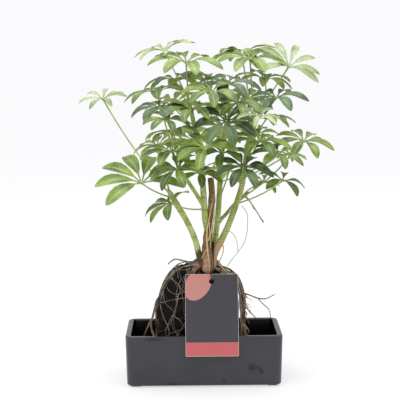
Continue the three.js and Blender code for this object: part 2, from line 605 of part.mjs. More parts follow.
function makeLeaves(others) {
  const leaves = LEAVES.map(([name, stem, z, at, lean, reach, count, turn, age, shed = []], k) => {
    return { name, stem, z, hub: vec(...at), lean, reach, count, turn, age, shed, number: k };
  });
  const placed = [];
  for (const leaf of leaves) {
    const fatStem = tube(stemPlaces(leaf.stem), STEM_SIDES, GAP);
    const rest = [...others, ...placed];
    const foreign = rest.filter(({ owner }) => owner !== leaf.stem);
    for (const slide of SLIDES) {
      for (const bow of BOWS) {
        if (leaf.stalk) break;
        const stalk = tube(stalkPlaces(leaf, slide, bow), PETIOLE.sides);
        const trial = largest(stalk.subtract(fatStem));
        if (isClear(trial, foreign)) leaf.stalk = trial;
      }
    }
    if (!leaf.stalk) throw new Error(leaf.name + ": its stalk finds no free way");
    const knob = leafSkin(leaf, Array(leaf.count).fill(null));
    placed.push(boxed(leaf.stalk, leaf.name), boxed(knob, leaf.name));
  }
  const fixed = [...others, ...placed];
  for (const leaf of leaves) {
    const foreign = fixed.filter(({ owner }) => owner !== leaf.name);
    const blades = [];
    leaf.leaflets = [];
    for (let i = 0; i < leaf.count; i++) {
      let found = null;
      for (const bend of BENDS) {
        for (const swing of SWINGS) {
          if (found || leaf.shed.includes(i)) break;
          const rings = leafletRings(leaf, i, bend, swing);
          const trial = solidOf(loft(rings));
          const blade = boxed(solidOf(loft(rings.slice(1))), leaf.name);
          if (isClear(trial, foreign) && isClear(blade.solid, blades)) {
            found = rings;
            blades.push(blade);
            fixed.push(boxed(trial, leaf.name));
          }
        }
      }
      leaf.leaflets.push(found);
    }
    leaf.solid = largest(leafSkin(leaf, leaf.leaflets).add(leaf.stalk));
  }
  return leaves;
}

// ---------------------------------------------------------------------------------------------
// Card and its string
// ---------------------------------------------------------------------------------------------
const CARD_BACK_AT_RIM = -TRAY.depth / 2 - GAP;

// A place on the card's front: x across and distance down from its top edge.
function onCard(x, down, proud = 0) {
  const lean = rad(TAG.lean);
  const z = TAG_LOW + (TAG.height - down) * Math.cos(lean);
  const y = CARD_BACK_AT_RIM - TAG.thick + (z - TRAY.height) * Math.tan(lean);
  return vec(TAG_X + x, y - proud * Math.cos(lean), z + proud * Math.sin(lean));
}

function makeCard() {
  const { width, height, thick, corner, hole, lean } = TAG;
  const shape = new THREE.Shape();
  const [x, y] = [width / 2 - corner, height / 2 - corner];
  shape.absarc(x, y, corner, 0, Math.PI / 2);
  shape.absarc(-x, y, corner, Math.PI / 2, Math.PI);
  shape.absarc(-x, -y, corner, Math.PI, 1.5 * Math.PI);
  shape.absarc(x, -y, corner, 1.5 * Math.PI, 2 * Math.PI);
  const punch = new THREE.Path();
  punch.absarc(TAG_HOLE.x, height / 2 - TAG_HOLE.down, hole, 0, 2 * Math.PI, true);
  shape.holes.push(punch);
  const card = new THREE.ExtrudeGeometry(shape, {
    depth: thick,
    bevelEnabled: false,
    curveSegments: 4,
  });
  // Its front turns to -Y, its top leans back.
  card.rotateX(Math.PI / 2 - rad(lean));
  const middle = onCard(0, height / 2, -thick);
  card.translate(middle.x, middle.y, middle.z);
  return solidOf(card);
}

// The string in one run: from the knot behind the stems' fork, forward through the fork, down to
// the card, through its hole, and up again behind the card's top edge to the same knot.
function makeString() {
  const { radius, quarters, steps, knot } = STRING;
  const run = new THREE.CatmullRomCurve3([
    vec(12.8, -4.9, 176.8),
    vec(12.5, -10, 176.6),
    vec(11.9, -18.8, 171.6),
    vec(10.6, -25, 158),
    onCard(TAG_HOLE.x - 0.7, TAG_HOLE.down - 12, 0.5),
    onCard(TAG_HOLE.x - 0.4, TAG_HOLE.down - 4.5, 1.6),
    onCard(TAG_HOLE.x, TAG_HOLE.down, -TAG.thick / 2),
    onCard(TAG_HOLE.x + 1, TAG_HOLE.down - 5, -2.4),
    onCard(TAG_HOLE.x + 1.4, TAG_HOLE.down - 12, -1.6),
    vec(12.8, -24, 159),
    vec(13.2, -18.6, 173.4),
    vec(12.9, -10, 178.5),
    vec(12.9, -4.9, 178),
  ]);
  const round = new THREE.Shape().absarc(0, 0, radius, 0, 2 * Math.PI);
  const cord = new THREE.ExtrudeGeometry(round, { steps, extrudePath: run, curveSegments: quarters });
  const bead = new THREE.IcosahedronGeometry(knot, 1).translate(12.9, -4.6, 177.4);
  return solidOf(cord).add(solidOf(bead));
}

// ---------------------------------------------------------------------------------------------
// Assembly
// ---------------------------------------------------------------------------------------------
const tray = makeTray();
const stone = makeStone();
const fatStone = makeStone(GAP);
add("tray", tray, CERAMIC);
add("lava_stone", stone, LAVA);

const trunkTube = tube(sampled(TRUNK, 9), 9).subtract(fatStone);
const fatTrunk = tube(sampled(TRUNK, 9), 9, GAP);
const woody = wasm.Manifold.union([trunkTube, ...makeRoots()]).subtract(fatStone);
add("trunk_and_roots", largest(woody), BARK);
const fatWoody = wasm.Manifold.union([fatTrunk, ...makeRoots(GAP)]);

const cutters = [fatWoody, fatStone];
for (const name of Object.keys(STEMS)) {
  const stubs = name === "side" ? BARE_STALKS.map((rows) => tube(sampled(rows, 3), 5)) : [];
  const whole = wasm.Manifold.union([tube(stemPlaces(name), STEM_SIDES), ...stubs]);
  const cut = cutters.reduce((left, cutter) => left.subtract(cutter), whole);
  cutters.push(tube(stemPlaces(name), STEM_SIDES, GAP));
  add("stem_" + name, largest(cut), GREEN_STEM);
}

// Places beside the trunk's own surface.
function besideTrunk([z, degrees, radius]) {
  const places = sampled(TRUNK, 80);
  const near = places.reduce((a, b) => (Math.abs(b.at.z - z) < Math.abs(a.at.z - z) ? b : a));
  const out = near.radius + radius + GAP;
  const turn = rad(degrees);
  return [near.at.x + out * Math.cos(turn), near.at.y + out * Math.sin(turn), z, radius];
}

const cutAll = (solid) => cutters.reduce((left, cutter) => left.subtract(cutter), solid);
const runs = TRUNK_ROOTS.map((run) => tube(sampled(run.map(besideTrunk), 9), 5));
add("aerial_roots", largest(cutAll(wasm.Manifold.union(runs))), PALE_ROOT);
const loops = LOOPS.map((rows) => tube(sampled(rows, 10), 4));
add("hanging_roots", largest(cutAll(wasm.Manifold.union(loops))), PALE_ROOT);
add("prop_root", largest(cutAll(tube(sampled(PROP_ROOT, 8), 5))), BARK);

add("card", makeCard(), CARD);
add("card_string", makeString(), STRING_BLACK);

const owners = nodes.map(({ name, solid }) => boxed(solid, name.replace("stem_", "")));
for (const leaf of makeLeaves(owners)) {
  add("leaf_" + leaf.name, leaf.solid, LEAF_FINISH[leaf.age]);
}

const plant = new THREE.Group();
for (const { name, solid, material } of nodes) {
  const mesh = new THREE.Mesh(geometryOf(solid), material);
  mesh.name = name;
  plant.add(mesh);
}

export default plant;
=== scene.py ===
"""A potted umbrella plant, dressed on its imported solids.

An umbrella tree grows over a dark lava stone that stands in a rectangular ceramic tray, and a
printed card hangs from the fork of its stems. The tables are in millimetres, and every mesh is
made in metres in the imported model's own frame: +Z up, the front facing -Y.
"""

import enum
import functools
import logging
import math
import random
from collections.abc import Iterable, Sequence
from dataclasses import dataclass, field, replace
from typing import NamedTuple

import bmesh
import bpy
from bmesh.types import BMEdge, BMesh, BMFace, BMVert
from bpy.types import Material, Mesh, Node, NodeSocket, NodeTree, Object
from mathutils import Matrix, Vector, noise
from mathutils.kdtree import KDTree


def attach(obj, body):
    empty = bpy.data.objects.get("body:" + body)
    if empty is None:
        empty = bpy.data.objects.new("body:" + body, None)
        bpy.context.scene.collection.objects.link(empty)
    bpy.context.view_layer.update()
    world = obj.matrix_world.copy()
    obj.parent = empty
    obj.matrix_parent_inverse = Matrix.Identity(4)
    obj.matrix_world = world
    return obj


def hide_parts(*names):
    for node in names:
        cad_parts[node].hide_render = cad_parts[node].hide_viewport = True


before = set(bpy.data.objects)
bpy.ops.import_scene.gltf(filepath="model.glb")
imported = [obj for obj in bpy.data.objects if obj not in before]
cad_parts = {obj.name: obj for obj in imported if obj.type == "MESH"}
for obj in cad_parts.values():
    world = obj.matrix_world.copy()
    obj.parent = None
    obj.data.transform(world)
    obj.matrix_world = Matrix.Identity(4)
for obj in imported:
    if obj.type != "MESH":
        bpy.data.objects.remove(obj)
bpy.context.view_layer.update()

LOG = logging.getLogger("umbrella_plant")
MM = 0.001  # metres in a millimetre
LAY = 6.0  # a tube's UV once round it, where a unit along it is a millimetre
GOLDEN = 0.618034

# The material slots of the roots' mesh and of a leaf's.
TRUNK, WOODY, FINE = range(3)
UPPER, UNDER, STALK = range(3)

Row = tuple[float, float, float, float]
Settings = dict[str | int, object]
Links = dict[str | int, Node | NodeSocket]


# ---------------------------------------------------------------------------------------------
# Colours and nodes
# ---------------------------------------------------------------------------------------------
def linear(code: str) -> tuple[float, float, float, float]:
    """Turns an sRGB hex colour to linear RGBA.

    Args:
        code: Six hex digits after a hash.

    Returns:
        Linear red, green, blue and an alpha of 1.
    """
    shares = [int(code[i : i + 2], 16) / 255 for i in (1, 3, 5)]
    red, green, blue = (
        s / 12.92 if s <= 0.04045 else ((s + 0.055) / 1.055) ** 2.4 for s in shares
    )
    return red, green, blue, 1.0


def cells(size: float) -> float:
    """How many of a pattern's cells a metre holds, when one is a size in millimetres across."""
    return 1 / (size * MM)


def set_up(tree: NodeTree, node: Node, settings: Settings, links: Links) -> None:
    """Gives a node its settings and links.

    Args:
        tree: The material's or world's node tree.
        node: The node.
        settings: Values by the name of a property or an input; "stops" fills a colour ramp with
            (place, hex colour) pairs.
        links: What feeds the node's inputs, by the input's name or number. A node stands for its
            own first output.
    """
    for name, value in settings.items():
        if name == "stops":
            ramp = node.color_ramp
            while len(ramp.elements) < len(value):
                ramp.elements.new(0.5)
            for element, (place, code) in zip(ramp.elements, value):
                element.position = place
                element.color = linear(code)
        elif isinstance(name, str) and hasattr(node, name):
            setattr(node, name, value)
        else:
            node.inputs[name].default_value = value
    for name, source in links.items():
        socket = source.outputs[0] if isinstance(source, Node) else source
        tree.links.new(socket, node.inputs[name])


def add_node(
    tree: NodeTree,
    kind: str,
    settings: Settings | None = None,
    links: Links | None = None,
) -> Node:
    """Adds one shader node with its settings and links, as set_up takes them.

    Args:
        tree: The material's or world's node tree.
        kind: The node's type, without "ShaderNode" before it.
        settings: Its settings.
        links: Its links.

    Returns:
        The new node.
    """
    node = tree.nodes.new("ShaderNode" + kind)
    set_up(tree, node, settings or {}, links or {})
    return node


# ---------------------------------------------------------------------------------------------
# Finishes
# ---------------------------------------------------------------------------------------------
@dataclass(frozen=True)
class Finish:
    """A material: its name, its gloss, and a method that wires its pattern. The sizes of every
    pattern are in millimetres."""

    name: str
    roughness: float
    ior: float = 1.45

    @functools.cache
    def material(self) -> Material:
        """Builds the material once and returns it."""
        made = bpy.data.materials.new(self.name)
        made.use_nodes = True
        tree = made.node_tree
        shader = tree.nodes["Principled BSDF"]
        set_up(tree, shader, {"Roughness": self.roughness, "IOR": self.ior}, {})
        self.wire(tree, shader)
        return made

    def wire(self, tree: NodeTree, shader: Node) -> None:
        """Adds the pattern's nodes. Each finish has its own.

        Args:
            tree: The material's node tree.
            shader: Its Principled BSDF.
        """
        raise NotImplementedError


class Splash(NamedTuple):
    """A dried splash on the glaze: its middle and its half width and height, in millimetres."""

    x: float
    y: float
    z: float
    wide: float
    high: float


@dataclass(frozen=True, kw_only=True)
class GlazedStoneware(Finish):
    """Slip-cast stoneware under an anthracite satin glaze: even, softly mottled, with the faint
    waviness of a glaze that ran, and a few dried splashes on its front."""

    light: str
    dark: str
    coat: float
    cloud: float = 55.6
    wave: float = 18.2
    wave_height: float = 0.6
    splashes: tuple[Splash, ...] = ()
    splash: str = "#08080a"
    splash_depth: float = 12.0
    splash_cover: float = 0.85
    splash_fade: tuple[float, float] = (1.2, 0.6)  # in half sizes: where it ends and fills
    fray: float = 2.38
    fray_reach: float = 4.4  # how far noise moves a splash's edge, in half sizes

    def wire(self, tree: NodeTree, shader: Node) -> None:
        """Mottles the glaze, then darkens the splashes."""
        here = add_node(tree, "TexCoord").outputs["Object"]
        cloud = add_node(
            tree, "TexNoise", {"Scale": cells(self.cloud), "Detail": 3.0}, {"Vector": here}
        )
        colour = add_node(
            tree, "ValToRGB", {"stops": [(0.3, self.dark), (0.7, self.light)]}, {"Fac": cloud}
        )
        ragged = add_node(
            tree, "TexNoise", {"Scale": cells(self.fray), "Detail": 5.0}, {"Vector": here}
        )
        for spot in self.splashes:
            moved = add_node(
                tree, "Mapping",
                {
                    "vector_type": "TEXTURE",
                    "Location": (spot.x * MM, spot.y * MM, spot.z * MM),
                    "Scale": (spot.wide * MM, self.splash_depth * MM, spot.high * MM),
                },
                {"Vector": here},
            )
            far = add_node(tree, "VectorMath", {"operation": "LENGTH"}, {0: moved})
            edge = add_node(
                tree, "Math",
                {"operation": "MULTIPLY_ADD", 1: self.fray_reach, 2: -self.fray_reach / 2},
                {0: ragged},
            )
            rough_edge = add_node(
                tree, "Math", {"operation": "ADD"}, {0: far.outputs["Value"], 1: edge}
            )
            ends, fills = self.splash_fade
            inside = add_node(
                tree, "MapRange",
                {"From Min": ends, "From Max": fills, "To Max": self.splash_cover},
                {"Value": rough_edge},
            )
            colour = add_node(
                tree, "MixRGB", {"Color2": linear(self.splash)}, {"Fac": inside, "Color1": colour}
            )
        wave = add_node(
            tree, "TexNoise", {"Scale": cells(self.wave), "Detail": 2.0}, {"Vector": here}
        )
        bump = add_node(
            tree, "Bump", {"Strength": 0.12, "Distance": self.wave_height * MM}, {"Height": wave}
        )
        set_up(
            tree, shader, {"Coat Weight": self.coat, "Coat Roughness": 0.12},
            {"Base Color": colour, "Normal": bump},
        )


@dataclass(frozen=True)
class LavaRock(Finish):
    """Basaltic lava: near black, dead matte, pitted by gas bubbles about 3 mm across, with dust
    and moss-brown soil in its hollows."""

    stone: str = "#0e0d0c"
    soil: str = "#221c18"
    dust: str = "#54443a"
    clod: float = 10.53
    bubble: float = 3.03
    grit: float = 1.54
    pit_depth: float = 2.0

    def wire(self, tree: NodeTree, shader: Node) -> None:
        """Lays soil tones over the rock and pits it."""
        here = add_node(tree, "TexCoord").outputs["Object"]
        soil = add_node(
            tree, "TexNoise", {"Scale": cells(self.clod), "Detail": 8.0, "Roughness": 0.78},
            {"Vector": here},
        )
        tone = add_node(
            tree, "ValToRGB",
            {"stops": [(0.42, self.stone), (0.58, self.soil), (0.76, self.dust)]}, {"Fac": soil},
        )
        pits = add_node(
            tree, "TexVoronoi", {"Scale": cells(self.bubble), "Randomness": 1.0},
            {"Vector": here},
        )
        grit = add_node(
            tree, "TexNoise", {"Scale": cells(self.grit), "Detail": 5.0, "Roughness": 0.65},
            {"Vector": here},
        )
        height = add_node(tree, "Math", {"operation": "ADD"}, {0: pits, 1: grit})
        bump = add_node(
            tree, "Bump", {"Strength": 1.0, "Distance": self.pit_depth * MM}, {"Height": height}
        )
        set_up(
            tree, shader, {"Specular IOR Level": 0.25}, {"Base Color": tone, "Normal": bump}
        )


@dataclass(frozen=True, kw_only=True)
class Rind(Finish):
    """The skin of a trunk, stem or root: a blotched colour over fine grain, both drawn out along
    Z as the bark is, a second colour where its foot has turned woody, and rings of old scars."""

    deep: str
    middle: str
    pale: str
    blotch: float  # across one blotch
    relief: float  # how strongly the grain shows
    grain: float = 1.613
    draw: float = 0.35  # how fast the pattern changes up the skin, against across it
    woody: str = ""
    woody_below: float = 0.0
    woody_over: float = 0.0  # how far up the woody colour fades
    waver: float = 60.0  # of the woody foot's upper edge
    ring: float = 0.0  # from ring to ring, or none
    ring_waver: float = 8.0
    ring_edge: float = 0.0  # how near a wave's crest a ring starts
    scar: str = ""
    scar_cover: float = 0.6

    def wire(self, tree: NodeTree, shader: Node) -> None:
        """Blotches the skin, browns its foot, grains it and rings it with scars."""
        here = add_node(tree, "TexCoord").outputs["Object"]
        drawn = add_node(tree, "Mapping", {"Scale": (1.0, 1.0, self.draw)}, {"Vector": here})
        spots = add_node(
            tree, "TexNoise", {"Scale": cells(self.blotch), "Detail": 5.0, "Roughness": 0.62},
            {"Vector": drawn},
        )
        colour = add_node(
            tree, "ValToRGB",
            {"stops": [(0.32, self.deep), (0.52, self.middle), (0.72, self.pale)]}, {"Fac": spots},
        )
        height = add_node(tree, "SeparateXYZ", {}, {0: here}).outputs["Z"]
        if self.woody:
            ragged = add_node(
                tree, "Math", {"operation": "MULTIPLY_ADD", 1: self.waver * MM},
                {0: spots, 2: height},
            )
            foot = add_node(
                tree, "MapRange",
                {
                    "From Min": (self.woody_below + self.woody_over + self.waver / 2) * MM,
                    "From Max": (self.woody_below + self.waver / 2) * MM,
                },
                {"Value": ragged},
            )
            colour = add_node(
                tree, "MixRGB", {"Color2": linear(self.woody)}, {"Fac": foot, "Color1": colour}
            )
        grain = add_node(
            tree, "TexNoise", {"Scale": cells(self.grain), "Detail": 3.0}, {"Vector": drawn}
        )
        bump = add_node(
            tree, "Bump", {"Strength": self.relief, "Distance": 0.5 * MM}, {"Height": grain}
        )
        if self.ring:
            wavy = add_node(
                tree, "Math", {"operation": "MULTIPLY_ADD", 1: self.ring_waver * MM},
                {0: spots, 2: height},
            )
            turn = add_node(
                tree, "Math", {"operation": "MULTIPLY", 1: 2 * math.pi / (self.ring * MM)},
                {0: wavy},
            )
            crest = add_node(tree, "Math", {"operation": "SINE"}, {0: turn})
            scar = add_node(
                tree, "MapRange",
                {"From Min": self.ring_edge, "From Max": 1.0, "To Max": self.scar_cover},
                {"Value": crest},
            )
            colour = add_node(
                tree, "MixRGB", {"Color2": linear(self.scar)}, {"Fac": scar, "Color1": colour}
            )
            bump = add_node(
                tree, "Bump", {"Strength": 0.8, "Distance": 0.5 * MM, "invert": True},
                {"Height": scar, "Normal": bump},
            )
        set_up(
            tree, shader, {"Specular IOR Level": 0.35}, {"Base Color": colour, "Normal": bump}
        )


@dataclass(frozen=True, kw_only=True)
class LeafSkin(Finish):
    """A waxy leaf surface: even green that drifts from leaflet to leaflet, a pale midrib and
    margin, and side veins about 4 mm apart that just show. It reads the blade's UV map, which
    runs from 0 to 1 across and along each leaflet."""

    deep: str
    middle: str
    pale: str
    vein: str
    vein_cover: float
    side_vein_cover: float = 0.1
    wax: float = 0.16
    glow: float = 0.25
    drift: float = 23.8
    midrib: tuple[float, float] = (0.085, 0.02)  # aside of the middle: where it ends and fills
    margin: tuple[float, float] = (0.44, 0.49)  # and the same of the pale margin
    vein_pairs: int = 13
    vein_slant: float = 0.22
    vein_edge: float = 0.72  # how near a wave's crest a side vein starts

    def wire(self, tree: NodeTree, shader: Node) -> None:
        """Drifts the green and draws the midrib, the side veins and the margin."""
        coordinates = add_node(tree, "TexCoord")
        here = coordinates.outputs["Object"]
        drift = add_node(
            tree, "TexNoise", {"Scale": cells(self.drift), "Detail": 2.0, "Roughness": 0.5},
            {"Vector": here},
        )
        tone = add_node(
            tree, "ValToRGB",
            {"stops": [(0.36, self.deep), (0.5, self.middle), (0.64, self.pale)]}, {"Fac": drift},
        )
        parts = add_node(tree, "SeparateXYZ", {}, {0: coordinates.outputs["UV"]})
        centred = add_node(
            tree, "Math", {"operation": "SUBTRACT", 1: 0.5}, {0: parts.outputs["X"]}
        )
        aside = add_node(tree, "Math", {"operation": "ABSOLUTE"}, {0: centred})
        ends, fills = self.midrib
        midrib = add_node(
            tree, "MapRange", {"From Min": ends, "From Max": fills, "To Max": self.vein_cover},
            {"Value": aside},
        )
        slant = add_node(
            tree, "Math", {"operation": "MULTIPLY_ADD", 1: -self.vein_slant},
            {0: aside, 2: parts.outputs["Y"]},
        )
        beat = add_node(
            tree, "Math", {"operation": "MULTIPLY", 1: 2 * math.pi * self.vein_pairs}, {0: slant}
        )
        crest = add_node(tree, "Math", {"operation": "SINE"}, {0: beat})
        side_vein = add_node(
            tree, "MapRange",
            {"From Min": self.vein_edge, "From Max": 1.0, "To Max": self.side_vein_cover},
            {"Value": crest},
        )
        veins = add_node(tree, "Math", {"operation": "MAXIMUM"}, {0: midrib, 1: side_vein})
        ends, fills = self.margin
        margin = add_node(
            tree, "MapRange", {"From Min": ends, "From Max": fills, "To Max": self.vein_cover},
            {"Value": aside},
        )
        lines = add_node(tree, "Math", {"operation": "MAXIMUM"}, {0: veins, 1: margin})
        colour = add_node(
            tree, "MixRGB", {"Color2": linear(self.vein)}, {"Fac": lines, "Color1": tone}
        )
        bump = add_node(
            tree, "Bump", {"Strength": 0.15, "Distance": 0.25 * MM, "invert": True},
            {"Height": veins},
        )
        set_up(
            tree, shader,
            {
                "Coat Weight": self.wax,
                "Coat Roughness": 0.3,
                "Subsurface Weight": self.glow,
                "Subsurface Radius": (0.8, 1.0, 0.25),
                "Subsurface Scale": 1.2 * MM,
            },
            {"Base Color": colour, "Normal": bump},
        )


@dataclass(frozen=True, kw_only=True)
class PrintedCard(Finish):
    """Coated card, offset printed: a dark grey ground, a coral band along its foot and a salmon
    patch in its upper left corner, with the bare paper showing along its cut edges."""

    centre: tuple[float, float, float]
    lean: float
    half: tuple[float, float]
    ground: str = "#38373d"
    band: str = "#ba5b5c"
    patch: str = "#be8078"
    paper: str = "#cfc6bd"
    band_height: float = 17.5
    patch_at: tuple[float, float] = (-17.0, 39.5)
    patch_half: tuple[float, float] = (15.5, 23.0)
    patch_depth: float = 60.0  # through the card and well past it
    patch_turn: float = 32.0
    cut_edge: float = 0.35
    fibre: float = 1.11

    def wire(self, tree: NodeTree, shader: Node) -> None:
        """Lays out the print in millimetres across and up the card's own face."""
        here = add_node(tree, "TexCoord").outputs["Object"]
        flat = add_node(
            tree, "Mapping",
            {
                "vector_type": "TEXTURE",
                "Location": [c * MM for c in self.centre],
                "Rotation": (-math.radians(self.lean), 0.0, 0.0),
                "Scale": (MM, MM, MM),
            },
            {"Vector": here},
        )
        parts = add_node(tree, "SeparateXYZ", {}, {0: flat})
        low = add_node(
            tree, "Math", {"operation": "LESS_THAN", 1: self.band_height - self.half[1]},
            {0: parts.outputs["Z"]},
        )
        banded = add_node(
            tree, "MixRGB", {"Color1": linear(self.ground), "Color2": linear(self.band)},
            {"Fac": low},
        )
        blob = add_node(
            tree, "Mapping",
            {
                "vector_type": "TEXTURE",
                "Location": (self.patch_at[0], 0.0, self.patch_at[1]),
                "Rotation": (0.0, math.radians(self.patch_turn), 0.0),
                "Scale": (self.patch_half[0], self.patch_depth, self.patch_half[1]),
            },
            {"Vector": flat},
        )
        reach = add_node(tree, "VectorMath", {"operation": "LENGTH"}, {0: blob})
        inside = add_node(
            tree, "Math", {"operation": "LESS_THAN", 1: 1.0}, {0: reach.outputs["Value"]}
        )
        patched = add_node(
            tree, "MixRGB", {"Color2": linear(self.patch)}, {"Fac": inside, "Color1": banded}
        )
        edges = []
        for axis, half in zip("XZ", self.half):
            out = add_node(tree, "Math", {"operation": "ABSOLUTE"}, {0: parts.outputs[axis]})
            edges.append(
                add_node(
                    tree, "Math", {"operation": "GREATER_THAN", 1: half - self.cut_edge}, {0: out}
                )
            )
        edge = add_node(tree, "Math", {"operation": "MAXIMUM"}, dict(enumerate(edges)))
        colour = add_node(
            tree, "MixRGB", {"Color2": linear(self.paper)}, {"Fac": edge, "Color1": patched}
        )
        fibre = add_node(
            tree, "TexNoise", {"Scale": cells(self.fibre), "Detail": 2.0}, {"Vector": here}
        )
        bump = add_node(
            tree, "Bump", {"Strength": 0.08, "Distance": 0.1 * MM}, {"Height": fibre}
        )
        set_up(tree, shader, {}, {"Base Color": colour, "Normal": bump})


@dataclass(frozen=True)
class WaxedTwine(Finish):
    """Black waxed cotton twine: fine strands laid at a slant, each once round it in about 6 mm.
    It reads the tube's UV map, which runs round and along the cord."""

    black: str = "#08080a"
    grey: str = "#202024"

    def wire(self, tree: NodeTree, shader: Node) -> None:
        """Winds the strands round the cord."""
        around = add_node(tree, "TexCoord").outputs["UV"]
        strands = add_node(
            tree, "TexWave",
            {"wave_type": "BANDS", "bands_direction": "DIAGONAL", "Scale": 1.0, "Distortion": 0.6},
            {"Vector": around},
        )
        tone = add_node(
            tree, "ValToRGB", {"stops": [(0.2, self.black), (0.9, self.grey)]},
            {"Fac": strands.outputs["Fac"]},
        )
        bump = add_node(
            tree, "Bump", {"Strength": 0.8, "Distance": 0.3 * MM},
            {"Height": strands.outputs["Fac"]},
        )
        set_up(tree, shader, {}, {"Base Color": tone, "Normal": bump})


@dataclass(frozen=True)
class GlowingFloor(Finish):
    """A white, matte floor that glows a little on its own: painted light that keeps the shadows on
    it faint.
    """

    low: str = "#a2a2a3"
    high: str = "#a4a4a5"
    # The floor's own glow: painted light that lightens the shadows on it.
    floor_glow: float = 0.58
    drift: float = 500.0

    def wire(self, tree: NodeTree, shader: Node) -> None:
        """Keeps the floor all but even, and makes it glow, which is painted light."""
        here = add_node(tree, "TexCoord").outputs["Object"]
        drift = add_node(tree, "TexNoise", {"Scale": cells(self.drift)}, {"Vector": here})
        tone = add_node(
            tree, "ValToRGB", {"stops": [(0.3, self.low), (0.7, self.high)]}, {"Fac": drift}
        )
        set_up(
            tree, shader,
            {
                "Specular IOR Level": 0.1,
                "Emission Color": linear("#fdfdff"),
                "Emission Strength": self.floor_glow,
            },
            {"Base Color": tone},
        )


class LeafAge(enum.Enum):
    """How old a leaf is, which sets its colour and how far its leaflets arch over.

    Each value holds the record's slot, the degrees that a leaflet rises at its root and falls at
    its tip, and the finish of its upper side.
    """

    # Thin, soft and pale, so light comes through it and its veins hardly show.
    YOUNG = (
        "leaf_young", 34, -26,
        LeafSkin(
            "young_leaf", 0.42, deep="#748850", middle="#90a06a", pale="#aab78a", vein="#c6ccaa",
            vein_cover=0.35, glow=0.35,
        ),
    )
    # Just full grown: bright, and light still comes through it.
    LIGHT = (
        "leaf_light", 30, -34,
        LeafSkin(
            "light_leaf", 0.4, deep="#4d6a1c", middle="#6c872c", pale="#93a54e", vein="#b8c67e",
            vein_cover=0.45, glow=0.35,
        ),
    )
    # Leathery, under a satin wax that pales the green where light grazes it.
    MATURE = (
        "leaf_mature", 28, -38,
        LeafSkin(
            "mature_leaf", 0.38, deep="#364f13", middle="#536f1e", pale="#7c9138", vein="#aeba70",
            vein_cover=0.45,
        ),
    )
    # The oldest: deep bottle green, and the glossiest.
    DARK = (
        "leaf_dark", 28, -42,
        LeafSkin(
            "dark_leaf", 0.36, deep="#21371c", middle="#375129", pale="#5a7446", vein="#869a60",
            vein_cover=0.4,
        ),
    )

    @property
    def slot(self) -> str:
        """The record's material slot."""
        return self.value[0]

    @property
    def arch(self) -> tuple[float, float]:
        """Degrees risen at the root and fallen at the tip."""
        return self.value[1], self.value[2]

    @property
    def upper(self) -> LeafSkin:
        """The finish of its upper side."""
        return self.value[3]


# A leaf's underside has no wax, so it is paler and dull, and its side veins stand out more. Its
# yellow-green is also painted brighter to stand for light shining through the thin leaf: painted
# light.
UNDERSIDE = LeafSkin(
    "leaf_underside", 0.6, deep="#778d32", middle="#93a44a", pale="#b0bc68", vein="#c4ce8e",
    vein_cover=0.4, side_vein_cover=0.2, wax=0.0,
)
# The skin of a leaf's stalk is smooth and juicy, with hardly a grain.
LEAF_STALK = Rind(
    "petiole_skin", 0.5, deep="#8b9f4e", middle="#a5b768", pale="#c0cc90", blotch=16.67,
    relief=0.15,
)
# Young bark is smooth and light green, with pale lenticels and a few faint scars. Its foot, where
# it comes out of the trunk, is a dark brown that is partly woody bark and partly painted shade low
# among the stems.
GREEN_STEM = Rind(
    "green_bark", 0.5, deep="#7c9042", middle="#a6b566", pale="#d0d8a0", blotch=8.333, relief=0.4,
    woody="#4c3f2a", woody_below=165, woody_over=8, ring=17.0, ring_edge=0.95, scar="#6f6a3c",
)
# The side stem is brown where it leaves the back stem.
SIDE_STEM = replace(GREEN_STEM, name="brown_ended_bark", woody="#7a5a42", woody_below=200)
# The right stem's bark is older, so its scars stand close and its foot is a pinkish brown.
BROWN_STEM = Rind(
    "brown_footed_bark", 0.55, deep="#748840", middle="#9bab5c", pale="#c2cc8a", blotch=9.09,
    relief=0.6, woody="#b8967c", woody_below=174, woody_over=12, ring=3.4, ring_edge=0.6,
    scar="#7c6242",
)
# Old bark: dull, rough and corky, from olive brown to a pinkish tan, ringed by worn scars.
TRUNK_BARK = Rind(
    "trunk_bark", 0.85, deep="#46391f", middle="#836b43", pale="#c39a7c", blotch=6.667, relief=1.0,
    woody="#c8a086", woody_below=150, woody_over=25, ring=6.5, ring_edge=0.88, scar="#5a4230",
)
# Woody roots are rough and brown, with pale flakes.
ROOT_BARK = Rind(
    "root_bark", 0.85, deep="#3f2b20", middle="#7f5e48", pale="#bc9c7c", blotch=5.263, relief=0.8
)
# Fine roots are dry and greyer.
FINE_ROOT = Rind(
    "fine_root_skin", 0.85, deep="#4a4038", middle="#81766a", pale="#b5ab9c", blotch=7.14,
    relief=0.5,
)
# Roots in the air keep a corky, straw-pale skin.
AERIAL_ROOT = Rind(
    "aerial_root_skin", 0.7, deep="#ac9262", middle="#cdb684", pale="#e2d3a8", blotch=9.09,
    relief=0.4,
)
# The newest ones are thin as thread, smooth and greenish white.
THREAD_ROOT = Rind(
    "thread_root_skin", 0.7, deep="#a5a48a", middle="#c0c0a6", pale="#d6d7c4", blotch=9.09,
    relief=0.2,
)
LAVA = LavaRock("lava_rock", 0.96)
TWINE = WaxedTwine("waxed_twine", 0.7)


# ---------------------------------------------------------------------------------------------
# Routes and tubes
# ---------------------------------------------------------------------------------------------
class Place(NamedTuple):
    """A point of a route and the radius there, in millimetres."""

    at: Vector
    radius: float


